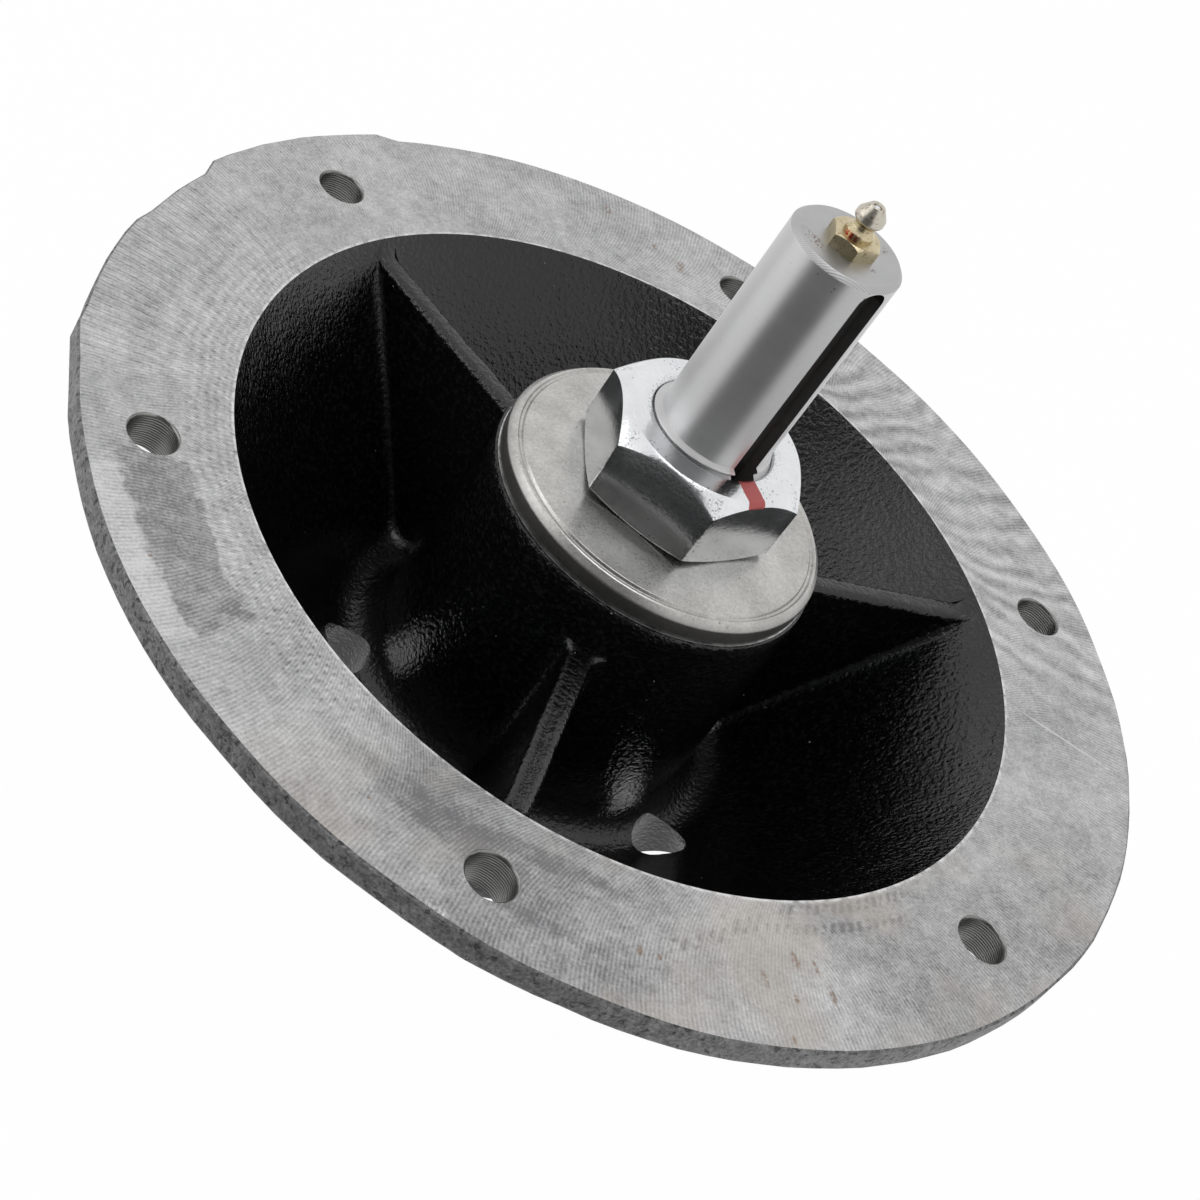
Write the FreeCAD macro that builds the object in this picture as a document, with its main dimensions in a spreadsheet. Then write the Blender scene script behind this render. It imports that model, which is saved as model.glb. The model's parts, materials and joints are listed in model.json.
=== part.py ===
"""Mower deck spindle: cast housing, keyed shaft on two tapered roller bearings, shield cap, nut, fitting.

Origin: centre of the machined deck face of the flange. +Z runs up the shaft to the pulley end, and +X
points at one rib and one bolt hole. All lengths are millimetres and all angles are degrees.
"""

import FreeCAD, Part
import math
import os
import re

import Sketcher

# Driving dimensions: name, value, what it measures
SIZES = {
    # Housing, a single iron casting
    "flange_radius": (128.2, "outside radius of the deck flange"),
    "flange_thickness": (6.4, "thickness of the deck flange"),
    "bolt_offset": (1.2, "how far the deck bolt holes lie outside the middle of the deck face"),
    "bolt_hole_radius": (5.35, "radius of a deck bolt hole"),
    "bolt_hole_bevel": (0.5, "bevel at the mouth of a deck bolt hole"),
    "bolt_count": (6, "number of deck bolt holes"),
    "gate_mark_height": (2.3, "how far the gate mark of the casting stands out of the rim"),
    "gate_mark_start": (109.0, "angle where the gate mark starts"),
    "gate_mark_span": (24.5, "angle that the gate mark covers"),
    "swell_height": (0.9, "how far the swollen stretch of the rim stands out"),
    "swell_start": (149.0, "angle where the swollen stretch starts"),
    "swell_span": (20.0, "angle that the swollen stretch covers"),
    "mouth_radius": (94.8, "radius of the bowl at the deck face"),
    "groove_depth": (64.58, "depth below the deck face where the lines of bowl and hub would meet"),
    "wall_thickness": (6.5, "thickness of the bowl wall"),
    "groove_round": (7.0, "rounding in the groove between bowl and hub"),
    "groove_flats": (5, "flats that stand for the rounding in the groove"),
    "under_flange_round": (6.0, "rounding between bowl and flange, outside"),
    "under_hub_round": (6.0, "rounding between bowl and hub, outside"),
    "underside_flats": (2, "flats that stand for each rounding outside"),
    "hub_top": (8.5, "height of the hub's upper face above the deck face"),
    "hub_length": (94.5, "length of the hub"),
    "hub_radius": (39.0, "radius of the hub at its two ends"),
    "hub_draft": (0.72, "draft of the hub's sides"),
    "hub_bevel": (0.8, "bevel on the hub's end edges"),
    "rib_count": (3, "number of ribs in the bowl"),
    "rib_thickness": (5.8, "thickness of a rib"),
    "rib_top": (3.0, "depth of a rib's edge below the deck face"),
    "rib_bite": (3.0, "how deep a rib's profile runs into the wall and the hub"),
    "rib_round": (1.8, "rounding along the free edges of a rib"),
    "drain_radius": (6.0, "radius of a drain opening"),
    "drain_circle_radius": (47.5, "distance of a drain opening from the axis"),
    # Seats in the hub, the same at both ends
    "seal_seat_depth": (7.5, "depth of a seal seat"),
    "shoulder_depth": (23.775, "depth of a bearing shoulder below the hub's end"),
    "shoulder_width": (3.565, "width of the shoulder that an outer ring is pressed against"),
    "press_clearance": (0.01, "radial gap left where a ring is pressed in or on"),
    # Grease seals
    "seal_step": (0.6, "how much larger a seal is than the outer ring, in radius"),
    "seal_width": (6.35, "width of a seal"),
    "seal_setback": (0.5, "how far a seal sits below the hub's end"),
    "seal_case_wall": (4.665, "thickness of a seal's case"),
    "seal_web": (2.4, "thickness of a seal's outer face and lip"),
    "lip_clearance": (0.05, "running gap between a lip and its journal"),
    # Tapered roller bearings
    "bearing_width": (15.875, "width over both rings"),
    "inner_ring_wall": (3.479, "thickness of the inner ring under the rollers' middle"),
    "outer_ring_wall": (3.675, "thickness of the outer ring over the rollers' middle"),
    "outer_ring_width": (11.811, "width of the outer ring"),
    "inner_ring_width": (16.764, "width of the inner ring"),
    "journal_radius": (15.875, "radius of the shaft in the bearings"),
    "rib_ring_width": (6.525, "thickness of the inner ring at its thrust rib"),
    "roller_count": (17, "rollers in one bearing"),
    "roller_sides": (10, "flats that stand for a roller's round side"),
    "roller_length": (11.0, "length of a roller"),
    "roller_radius": (3.15, "radius of a roller at its middle"),
    "roller_taper": (1.75, "half angle of a roller's taper"),
    "roller_tilt": (12.5, "tilt of a roller from the axis"),
    "race_clearance": (0.04, "gap between a roller and each race"),
    "rib_clearance": (0.1, "gap between a roller's large end and the thrust rib"),
    "cage_thickness": (1.0, "thickness of the cage plate"),
    "cage_offset": (0.9, "how far the cage plate lies outside the roller centres"),
    "cage_margin": (1.75, "length of the cage past the rollers at each end"),
    "cage_eye_gap": (3.725, "distance of the cage's turned-in edge from the journal"),
    "window_clearance": (0.15, "gap between a roller and its window"),
    # Spacer between the inner rings
    "spacer_wall": (2.725, "thickness of the spacer and its gap to the shaft"),
    "spacer_clearance": (0.1, "gap between spacer and shaft"),
    # Shaft
    "shaft_top": (86.8, "height of the shaft's end above the deck face"),
    "shaft_radius": (12.7, "radius of the shaft in the pulley"),
    "shaft_bevel": (1.05, "bevel on the shaft's end"),
    "thread_radius": (14.2875, "radius over the thread for the nut"),
    "thread_bevel": (1.1, "bevel at the end of the thread"),
    "thread_above_nut": (0.1, "full thread above the nut"),
    "journal_above_ring": (1.6, "how far the journal ends below the upper ring's face"),
    "seal_journal_step": (4.765, "how much larger the shaft is where the lower seal runs, in radius"),
    "blade_seat_radius": (25.4, "radius of the blade seat"),
    "blade_seat_thickness": (9.0, "thickness of the blade seat"),
    "blade_seat_gap": (1.5, "gap between the hub and the blade seat"),
    "blade_seat_bevel": (1.0, "bevel on the blade seat"),
    "pilot_radius": (12.7, "radius of the pilot that centres the blade"),
    "pilot_length": (6.35, "length of the pilot"),
    "pilot_bevel": (0.8, "bevel on the pilot"),
    "blade_hole_radius": (7.25, "radius of the tapped hole for the blade bolt"),
    "blade_hole_depth": (38.0, "depth of the tapped hole"),
    "drill_point_angle": (59.0, "half angle of a drilled hole's end"),
    "grease_bore_radius": (2.5, "radius of the grease drillings"),
    "keyway_angle": (286.35, "angle of the keyway round the axis"),
    "keyway_width": (6.35, "width of the keyway"),
    "keyway_floor": (9.525, "distance of the keyway's floor from the axis"),
    "keyway_land": (1.1, "metal left between the keyway and the shaft's end"),
    "keyway_length": (61.7, "length of the keyway over its round ends"),
    # Nut
    "nut_flats": (42.86, "width over the nut's flats"),
    "nut_height": (18.2, "height of the nut"),
    "nut_angle": (18.0, "angle of the nut's first corner"),
    "thread_clearance": (0.04, "gap between the thread and the nut's bore"),
    "nut_countersink": (0.5, "width and depth of the countersink at the top of the bore"),
    "nut_face_radius": (20.7, "radius of the flat rings on both faces"),
    "nut_corner_drop": (3.8, "how far the corners are bevelled down"),
    "nut_base_rise": (1.5, "how far the corners are bevelled up from the lower face"),
    # Shield cap
    "cap_radius": (38.1, "outside radius of the cap"),
    "cap_height": (15.0, "height of the cap from the inner ring to the nut"),
    "cap_bore_clearance": (0.06, "gap between the thread and the cap's bore"),
    "cap_seat_radius": (25.0, "radius of the flat under the nut"),
    "cap_edge_radius": (36.7, "radius where the top surface meets the rounded edge"),
    "cap_edge_drop": (1.4, "drop of the top surface from the seat to the edge"),
    "cap_edge_round": (1.5, "height of the rounded edge"),
    "cap_groove_margin": (0.4, "metal left between the fine groove and the rounded edge"),
    "cap_groove_width": (1.4, "width of the fine groove inside the rounded edge"),
    "cap_groove_depth": (0.45, "depth of the fine groove below the cap's edge"),
    "cap_plate": (4.5, "thickness of the plate under the nut"),
    "skirt_thickness": (2.6, "thickness of the skirt"),
    "skirt_gap": (0.6, "gap between the skirt and the hub"),
    # Grease fitting
    "fitting_flats": (10.0, "width over the fitting's flats"),
    "fitting_angle": (14.0, "angle of the fitting's first corner"),
    "fitting_hex_height": (3.1, "height of the hexagon"),
    "fitting_hex_bevel": (0.6, "how far the hexagon's corners are bevelled"),
    "fitting_stem_radius": (4.0, "radius over the fitting's thread"),
    "fitting_stem_length": (6.0, "length of the fitting's thread"),
    "fitting_neck_radius": (2.25, "radius of the neck"),
    "fitting_head_radius": (3.2, "radius of the head"),
    "fitting_collar_top": (5.0, "height where the neck starts"),
    "fitting_neck_top": (5.9, "height where the neck ends"),
    "fitting_head_low": (6.9, "height where the head is full"),
    "fitting_head_high": (8.2, "height where the head starts to close"),
    "fitting_tip": (10.5, "height of the fitting"),
    "fitting_tip_radius": (1.55, "radius of the flat on the tip"),
    "fitting_well_radius": (1.5, "radius of the passage below the ball"),
    "fitting_mouth_radius": (0.9, "radius of the hole in the tip"),
    "ball_radius": (1.1, "radius of the check ball"),
    "ball_setback": (0.15, "how far the ball sits below the tip"),
    "ball_clearance": (0.02, "gap between the ball and its seat"),
    "seat_angle": (45.0, "half angle of the ball's conical seat"),
    "fitting_ledge_radius": (0.75, "radius of the passage below the spring's ledge"),
    "spring_radius": (0.95, "radius of the check spring's wire centre"),
    "spring_wire": (0.3, "width of the check spring's wire"),
    "spring_turns": (3, "turns of the check spring"),
    "spring_pitch": (1.2, "pitch of the check spring"),
    "spring_clearance": (0.02, "gap at each end of the check spring"),
}

doc = FreeCAD.newDocument("mower_deck_spindle")
sheet = doc.addObject("Spreadsheet::Sheet", "Sizes")
for row, (alias, (number, meaning)) in enumerate(SIZES.items(), 1):
    sheet.set(f"A{row}", alias)
    sheet.set(f"B{row}", str(number))
    sheet.set(f"C{row}", meaning)
    sheet.setAlias(f"B{row}", alias)
doc.recompute()

# Heights and radii that several pieces share, worked out from the sheet
TOP_SHOULDER = "(hub_top - shoulder_depth)"
HUB_BOTTOM = "(hub_top - hub_length)"
LOW_SHOULDER = f"({HUB_BOTTOM} + shoulder_depth)"
TOP_RING_BACK = f"({TOP_SHOULDER} + bearing_width)"
LOW_RING_BACK = f"({LOW_SHOULDER} - bearing_width)"
CAP_TOP = f"({TOP_RING_BACK} + cap_height)"
NUT_TOP = f"({CAP_TOP} + nut_height)"
THREAD_TOP = f"({NUT_TOP} + thread_above_nut + thread_bevel)"
BLADE_SEAT_TOP = f"({HUB_BOTTOM} - blade_seat_gap)"
BLADE_SEAT = f"({BLADE_SEAT_TOP} - blade_seat_thickness)"
SHAFT_BOTTOM = f"({BLADE_SEAT} - pilot_length)"
GREASE_LEVEL = f"(({TOP_SHOULDER} + {LOW_SHOULDER}) / 2)"
FITTING_FOOT = "(shaft_top - fitting_stem_length)"

# Radii from the journal outwards through a bearing; its heights start at its shoulder in the hub
ROLLER_MIDDLE = "(outer_ring_width / 2)"
OUTER_ANGLE = "(roller_tilt + roller_taper)"
INNER_ANGLE = "(roller_tilt - roller_taper)"
RACE_REACH = "(roller_radius * cos(roller_taper) + race_clearance)"
INNER_RACE_MIDDLE = "(journal_radius + inner_ring_wall)"
PITCH_RADIUS = f"({INNER_RACE_MIDDLE} + {RACE_REACH} / cos({INNER_ANGLE}))"
OUTER_RACE_MIDDLE = f"({PITCH_RADIUS} + {RACE_REACH} / cos({OUTER_ANGLE}))"
OUTER_RING_RADIUS = f"({OUTER_RACE_MIDDLE} + outer_ring_wall)"
SEAL_RADIUS = f"({OUTER_RING_RADIUS} + seal_step)"
SEAL_JOURNAL_RADIUS = "(journal_radius + seal_journal_step)"
RIB_RING_RADIUS = "(journal_radius + rib_ring_width)"
SPACER_RADIUS = "(journal_radius + spacer_wall)"
SMALL_END_RADIUS = f"({PITCH_RADIUS} - roller_length / 2 * sin(roller_tilt))"
SMALL_END_HEIGHT = f"({ROLLER_MIDDLE} - roller_length / 2 * cos(roller_tilt))"
SMALL_RADIUS = "(roller_radius - roller_length / 2 * tan(roller_taper))"
LARGE_RADIUS = "(roller_radius + roller_length / 2 * tan(roller_taper))"


def bound(text):
    """The expression with each size written out as a cell of the sheet."""
    return re.sub(r"[a-z_]+", lambda word: f"Sizes.{word[0]}" if word[0] in SIZES else word[0], str(text))


def value(text):
    """The number that an expression comes to."""
    number = sheet.evalExpression(bound(text))
    return float(getattr(number, "Value", number))


def new_body(label, height="0", spin="0", upside_down=False):
    """A named body, placed at a height on the axis, turned round it, and turned over if asked."""
    body = doc.addObject("PartDesign::Body", label)
    body.Label = label
    if upside_down:
        body.Placement = FreeCAD.Placement(FreeCAD.Vector(), FreeCAD.Rotation(FreeCAD.Vector(1, 0, 0), 180))
    else:
        body.Placement = FreeCAD.Placement(FreeCAD.Vector(), FreeCAD.Rotation(FreeCAD.Vector(0, 0, 1), 1))
        body.setExpression("Placement.Rotation.Angle", bound(spin))
    body.setExpression("Placement.Base.z", bound(height))
    return body


def origin_part(body, role):
    """One of the body's own origin planes or axes."""
    return next(item for item in body.Origin.OriginFeatures if item.Role == role)


def new_sketch(body, name, plane, lift=None, turn_axis=None, turn="0"):
    """A sketch on one of the body's origin planes, moved by lift and turned about its own turn_axis."""
    sketch = body.newObject("Sketcher::SketchObject", name)
    sketch.AttachmentSupport = [(origin_part(body, plane), "")]
    sketch.MapMode = "FlatFace"
    if turn_axis:
        turned = FreeCAD.Rotation(FreeCAD.Vector(*turn_axis), 1)
        sketch.AttachmentOffset = FreeCAD.Placement(FreeCAD.Vector(), turned)
        sketch.setExpression("AttachmentOffset.Rotation.Angle", bound(turn))
    for letter, distance in (lift or {}).items():
        sketch.setExpression(f"AttachmentOffset.Base.{letter}", bound(distance))
    return sketch


def pin_point(sketch, geometry, end, place):
    """Fixes one end of a line or arc, or a centre, at a place given by two expressions."""
    for kind, coordinate in zip(("DistanceX", "DistanceY"), place):
        number = value(coordinate)
        index = sketch.addConstraint(Sketcher.Constraint(kind, -1, 1, geometry, end, number))
        sketch.setExpression(f"Constraints[{index}]", bound(coordinate))


def outline(sketch, corners):
    """A closed outline with straight sides through the corners."""
    places = [FreeCAD.Vector(value(across), value(up), 0) for across, up in corners]
    count = len(corners)
    for number in range(count):
        sketch.addGeometry(Part.LineSegment(places[number], places[(number + 1) % count]), False)
    for number in range(count):
        sketch.addConstraint(Sketcher.Constraint("Coincident", number, 2, (number + 1) % count, 1))
    for number, corner in enumerate(corners):
        pin_point(sketch, number, 1, corner)
    return sketch


def rounding(corner, arriving, leaving, radius, flats):
    """Corners of the flats that round a hollow corner between lines of two headings."""
    turn = f"(({leaving}) - ({arriving}))"
    reach = f"{radius} * tan({turn} / 2)"
    across = f"({corner[0]} - {reach} * cos({arriving}) - {radius} * sin({arriving}))"
    up = f"({corner[1]} - {reach} * sin({arriving}) + {radius} * cos({arriving}))"
    count = round(value(flats))
    points = []
    for step in range(count + 1):
        heading = f"({arriving} + {step} / {count} * {turn})"
        points.append((f"{across} + {radius} * sin({heading})", f"{up} - {radius} * cos({heading})"))
    return points


def circle(sketch, centre, radius):
    """One circle."""
    middle = FreeCAD.Vector(value(centre[0]), value(centre[1]), 0)
    index = sketch.addGeometry(Part.Circle(middle, FreeCAD.Vector(0, 0, 1), value(radius)), False)
    pin_point(sketch, index, 3, centre)
    size = sketch.addConstraint(Sketcher.Constraint("Radius", index, value(radius)))
    sketch.setExpression(f"Constraints[{size}]", bound(radius))
    return sketch


def slot(sketch, low, high, width):
    """An upright slot on the sketch's own vertical axis, round at both ends."""
    half = f"({width}) / 2"
    below, above = (f"({low}) + {half}", f"({high}) - {half}")
    right_low, right_high, left_high, left_low = (
        FreeCAD.Vector(value(across), value(up), 0)
        for across, up in ((half, below), (half, above), (f"-{half}", above), (f"-{half}", below))
    )
    upper = Part.Circle(FreeCAD.Vector(0, value(above), 0), FreeCAD.Vector(0, 0, 1), value(half))
    lower = Part.Circle(FreeCAD.Vector(0, value(below), 0), FreeCAD.Vector(0, 0, 1), value(half))
    sketch.addGeometry(Part.LineSegment(right_low, right_high), False)
    sketch.addGeometry(Part.ArcOfCircle(upper, 0, math.pi), False)
    sketch.addGeometry(Part.LineSegment(left_high, left_low), False)
    sketch.addGeometry(Part.ArcOfCircle(lower, math.pi, 2 * math.pi), False)
    for first in range(4):
        sketch.addConstraint(Sketcher.Constraint("Coincident", first, 2, (first + 1) % 4, 1))
    pin_point(sketch, 0, 1, (half, below))
    pin_point(sketch, 0, 2, (half, above))
    pin_point(sketch, 2, 1, (f"-{half}", above))
    pin_point(sketch, 2, 2, (f"-{half}", below))
    for arc, centre in ((1, above), (3, below)):
        index = sketch.addConstraint(Sketcher.Constraint("DistanceY", -1, 1, arc, 3, value(centre)))
        sketch.setExpression(f"Constraints[{index}]", bound(centre))
    return sketch


def turned(body, name, corners, cut=False):
    """Material turned about the body's axis, or cut away by turning, from a profile of (radius, height)."""
    sketch = outline(new_sketch(body, f"{name}_profile", "XZ_Plane"), corners)
    feature = body.newObject("PartDesign::Groove" if cut else "PartDesign::Revolution", name)
    feature.Profile = sketch
    feature.ReferenceAxis = (sketch, ["V_Axis"])
    feature.Angle = 360
    doc.recompute()
    return feature


def pad(body, name, sketch, length, both_ways=False, taper=None):
    """The sketch pushed out along its normal."""
    feature = body.newObject("PartDesign::Pad", name)
    feature.Profile = sketch
    feature.setExpression("Length", bound(length))
    if both_ways:
        feature.SideType = "Symmetric"
    if taper:
        feature.setExpression("TaperAngle", bound(taper))
    doc.recompute()
    return feature


def pocket(body, name, sketch, length=None, both_ways=False, reverse=False):
    """The sketch cut away along its normal, right through where no length is given."""
    before = body.Shape.Volume
    feature = body.newObject("PartDesign::Pocket", name)
    feature.Profile = sketch
    if length is None:
        feature.Type = "ThroughAll"
    else:
        feature.setExpression("Length", bound(length))
    if both_ways:
        feature.SideType = "Symmetric"
    feature.Reversed = reverse
    doc.recompute()
    if feature.Shape.Volume >= before:
        raise RuntimeError(f"{name} cuts nothing")
    return feature


def ring_pattern(body, name, features, count):
    """The features repeated evenly round the body's axis."""
    pattern = body.newObject("PartDesign::PolarPattern", name)
    pattern.Originals = features
    pattern.Axis = (origin_part(body, "Z_Axis"), [""])
    pattern.Angle = 360
    pattern.setExpression("Occurrences", bound(count))
    body.Tip = pattern
    doc.recompute()
    return pattern


def edge_names(feature, wanted):
    """Names of the feature's edges for which wanted(edge) is true."""
    return [f"Edge{number}" for number, edge in enumerate(feature.Shape.Edges, 1) if wanted(edge)]


def is_ring(radius, height):
    """A test for a circular edge about the axis."""
    def test(edge):
        curve = edge.Curve
        if not isinstance(curve, Part.Circle) or math.hypot(curve.Center.x, curve.Center.y) > 0.001:
            return False
        return abs(curve.Radius - value(radius)) < 0.001 and abs(curve.Center.z - value(height)) < 0.001
    return test


def rounded(body, name, base, wanted, radius):
    """Rounded edges."""
    feature = body.newObject("PartDesign::Fillet", name)
    feature.Base = (base, edge_names(base, wanted))
    feature.setExpression("Radius", bound(radius))
    doc.recompute()
    return feature


def bevelled(body, name, base, wanted, size):
    """Bevelled edges."""
    feature = body.newObject("PartDesign::Chamfer", name)
    feature.Base = (base, edge_names(base, wanted))
    feature.setExpression("Size", bound(size))
    doc.recompute()
    return feature


# Where the bowl's lines meet the hub's, inside and outside
HUB_SLOPE = "tan(hub_draft)"
GROOVE_RADIUS = f"(hub_radius + (hub_top + groove_depth) * {HUB_SLOPE})"
WALL_SLOPE = f"((mouth_radius - {GROOVE_RADIUS}) / groove_depth)"
WALL_ANGLE = f"(atan({WALL_SLOPE}) / 1 deg)"
OUTER_MOUTH = f"(mouth_radius + wall_thickness / cos({WALL_ANGLE}))"
NECK_HEIGHT = f"((hub_radius - {HUB_BOTTOM} * {HUB_SLOPE} - {OUTER_MOUTH}) / ({WALL_SLOPE} - {HUB_SLOPE}))"
NECK_RADIUS = f"({OUTER_MOUTH} + {NECK_HEIGHT} * {WALL_SLOPE})"


def rim_stretch(body, name, height, start, span):
    """A stretch of the flange's rim that stands out, as cast."""
    sketch = new_sketch(body, f"{name}_profile", "XZ_Plane", turn_axis=(0, 1, 0), turn=start)
    outside, low = (f"flange_radius + {height}", "-flange_thickness")
    inside = f"flange_radius {low}"
    outline(sketch, [(inside, low), (outside, low), (outside, "0"), (inside, "0")])
    stretch = body.newObject("PartDesign::Revolution", name)
    stretch.Profile = sketch
    stretch.ReferenceAxis = (sketch, ["V_Axis"])
    stretch.setExpression("Angle", bound(span))
    doc.recompute()
    return stretch


def is_rib_edge(edge):
    """A test for the long upper edges of the ribs."""
    low, high = edge.BoundBox.ZMin, edge.BoundBox.ZMax
    level = -value("rib_top")
    return abs(low - level) < 0.001 and abs(high - level) < 0.001 and isinstance(edge.Curve, Part.Line)


def spindle_housing():
    """Flange, bowl, hub and ribs in one casting, with its machined seats and holes."""
    body = new_body("spindle_housing")
    under_flange = (f"({OUTER_MOUTH} - flange_thickness * {WALL_SLOPE})", "-flange_thickness")
    casting = turned(body, "casting", [
        ("0", "hub_top"),
        ("hub_radius", "hub_top"),
        *rounding((GROOVE_RADIUS, "-groove_depth"), "hub_draft - 90", f"90 - {WALL_ANGLE}", "groove_round",
                  "groove_flats"),
        ("mouth_radius", "0"),
        ("flange_radius", "0"),
        ("flange_radius", "-flange_thickness"),
        *rounding(under_flange, "180", f"270 - {WALL_ANGLE}", "under_flange_round", "underside_flats"),
        *rounding((NECK_RADIUS, NECK_HEIGHT), f"270 - {WALL_ANGLE}", "270 - hub_draft", "under_hub_round",
                  "underside_flats"),
        ("hub_radius", HUB_BOTTOM),
        ("0", HUB_BOTTOM),
    ])
    ends = (is_ring("hub_radius", "hub_top"), is_ring("hub_radius", HUB_BOTTOM))
    bevelled(body, "hub_bevels", casting, lambda edge: any(end(edge) for end in ends), "hub_bevel")

    rib_profile = outline(new_sketch(body, "rib_profile", "XZ_Plane"), [
        ("hub_radius - rib_bite", "-rib_top"),
        (f"mouth_radius - rib_top * {WALL_SLOPE} + rib_bite", "-rib_top"),
        (f"{GROOVE_RADIUS} + rib_bite", "-groove_depth"),
        ("hub_radius - rib_bite", "-groove_depth"),
    ])
    rib = pad(body, "rib", rib_profile, "rib_thickness", both_ways=True)
    ribs = ring_pattern(body, "ribs", [rib], "rib_count")
    rounded(body, "rib_edges", ribs, is_rib_edge, "rib_round")
    rim_stretch(body, "gate_mark", "gate_mark_height", "gate_mark_start", "gate_mark_span")
    rim_stretch(body, "rim_swell", "swell_height", "swell_start", "swell_span")

    seal_seat = f"{SEAL_RADIUS} + press_clearance"
    ring_seat = f"{OUTER_RING_RADIUS} + press_clearance"
    middle_bore = f"{OUTER_RING_RADIUS} - shoulder_width"
    turned(body, "bearing_seats", [
        ("0", "hub_top"),
        (seal_seat, "hub_top"),
        (seal_seat, "hub_top - seal_seat_depth"),
        (ring_seat, "hub_top - seal_seat_depth"),
        (ring_seat, TOP_SHOULDER),
        (middle_bore, TOP_SHOULDER),
        (middle_bore, LOW_SHOULDER),
        (ring_seat, LOW_SHOULDER),
        (ring_seat, f"{HUB_BOTTOM} + seal_seat_depth"),
        (seal_seat, f"{HUB_BOTTOM} + seal_seat_depth"),
        (seal_seat, HUB_BOTTOM),
        ("0", HUB_BOTTOM),
    ], cut=True)

    half_step = "180 / rib_count"
    drain_centre = (f"drain_circle_radius * cos({half_step})", f"drain_circle_radius * sin({half_step})")
    drain_sketch = new_sketch(body, "drain_outline", "XY_Plane")
    drain = pocket(body, "drain", circle(drain_sketch, drain_centre, "drain_radius"))
    ring_pattern(body, "drains", [drain], "rib_count")

    hole_sketch = new_sketch(body, "bolt_hole_outline", "XY_Plane")
    circle(hole_sketch, ("(flange_radius + mouth_radius) / 2 + bolt_offset", "0"), "bolt_hole_radius")
    hole = pocket(body, "bolt_hole", hole_sketch)
    holes = ring_pattern(body, "bolt_holes", [hole], "bolt_count")

    def is_hole_mouth(edge):
        curve = edge.Curve
        if not isinstance(curve, Part.Circle) or abs(curve.Radius - value("bolt_hole_radius")) > 0.001:
            return False
        return abs(curve.Center.z) < 0.001

    bevelled(body, "bolt_hole_mouths", holes, is_hole_mouth, "bolt_hole_bevel")
    return body


def spindle_shaft():
    """Blade seat, journals, thread and keyed end in one turned shaft, drilled for grease."""
    body = new_body("spindle_shaft", spin="keyway_angle")
    turned(body, "turned_shaft", [
        ("0", "shaft_top"),
        ("shaft_radius - shaft_bevel", "shaft_top"),
        ("shaft_radius", "shaft_top - shaft_bevel"),
        ("shaft_radius", THREAD_TOP),
        ("thread_radius - thread_bevel", THREAD_TOP),
        ("thread_radius", f"{THREAD_TOP} - thread_bevel"),
        ("thread_radius", f"{TOP_RING_BACK} - journal_above_ring"),
        ("journal_radius", f"{TOP_RING_BACK} - journal_above_ring"),
        ("journal_radius", LOW_RING_BACK),
        (SEAL_JOURNAL_RADIUS, LOW_RING_BACK),
        (SEAL_JOURNAL_RADIUS, BLADE_SEAT_TOP),
        ("blade_seat_radius - blade_seat_bevel", BLADE_SEAT_TOP),
        ("blade_seat_radius", f"{BLADE_SEAT_TOP} - blade_seat_bevel"),
        ("blade_seat_radius", BLADE_SEAT),
        ("pilot_radius", BLADE_SEAT),
        ("pilot_radius", f"{SHAFT_BOTTOM} + pilot_bevel"),
        ("pilot_radius - pilot_bevel", SHAFT_BOTTOM),
        ("0", SHAFT_BOTTOM),
    ])
    turned(body, "grease_bore", [
        ("0", "shaft_top"),
        ("fitting_stem_radius + press_clearance", "shaft_top"),
        ("fitting_stem_radius + press_clearance", FITTING_FOOT),
        ("grease_bore_radius", FITTING_FOOT),
        ("grease_bore_radius", f"{GREASE_LEVEL} - grease_bore_radius"),
        ("0", f"{GREASE_LEVEL} - grease_bore_radius * (1 + 1 / tan(drill_point_angle))"),
    ], cut=True)
    turned(body, "blade_bolt_hole", [
        ("0", SHAFT_BOTTOM),
        ("blade_hole_radius", SHAFT_BOTTOM),
        ("blade_hole_radius", f"{SHAFT_BOTTOM} + blade_hole_depth"),
        ("0", f"{SHAFT_BOTTOM} + blade_hole_depth + blade_hole_radius / tan(drill_point_angle)"),
    ], cut=True)
    cross_sketch = circle(new_sketch(body, "cross_drilling_outline", "YZ_Plane"), ("0", GREASE_LEVEL),
                          "grease_bore_radius")
    pocket(body, "cross_drilling", cross_sketch, "journal_radius + 1", reverse=True)
    key_sketch = new_sketch(body, "keyway_outline", "YZ_Plane", lift={"z": "keyway_floor"})
    key_end = "shaft_top - keyway_land"
    slot(key_sketch, f"{key_end} - keyway_length", key_end, "keyway_width")
    pocket(body, "keyway", key_sketch, "thread_radius", reverse=True)
    return body


def hexagon(sketch, flats):
    """A hexagon about the sketch's origin with a corner on its horizontal axis."""
    reach = f"({flats}) / (2 * cos(30))"
    turns = range(0, 360, 60)
    return outline(sketch, [(f"{reach} * cos({turn})", f"{reach} * sin({turn})") for turn in turns])


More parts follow.
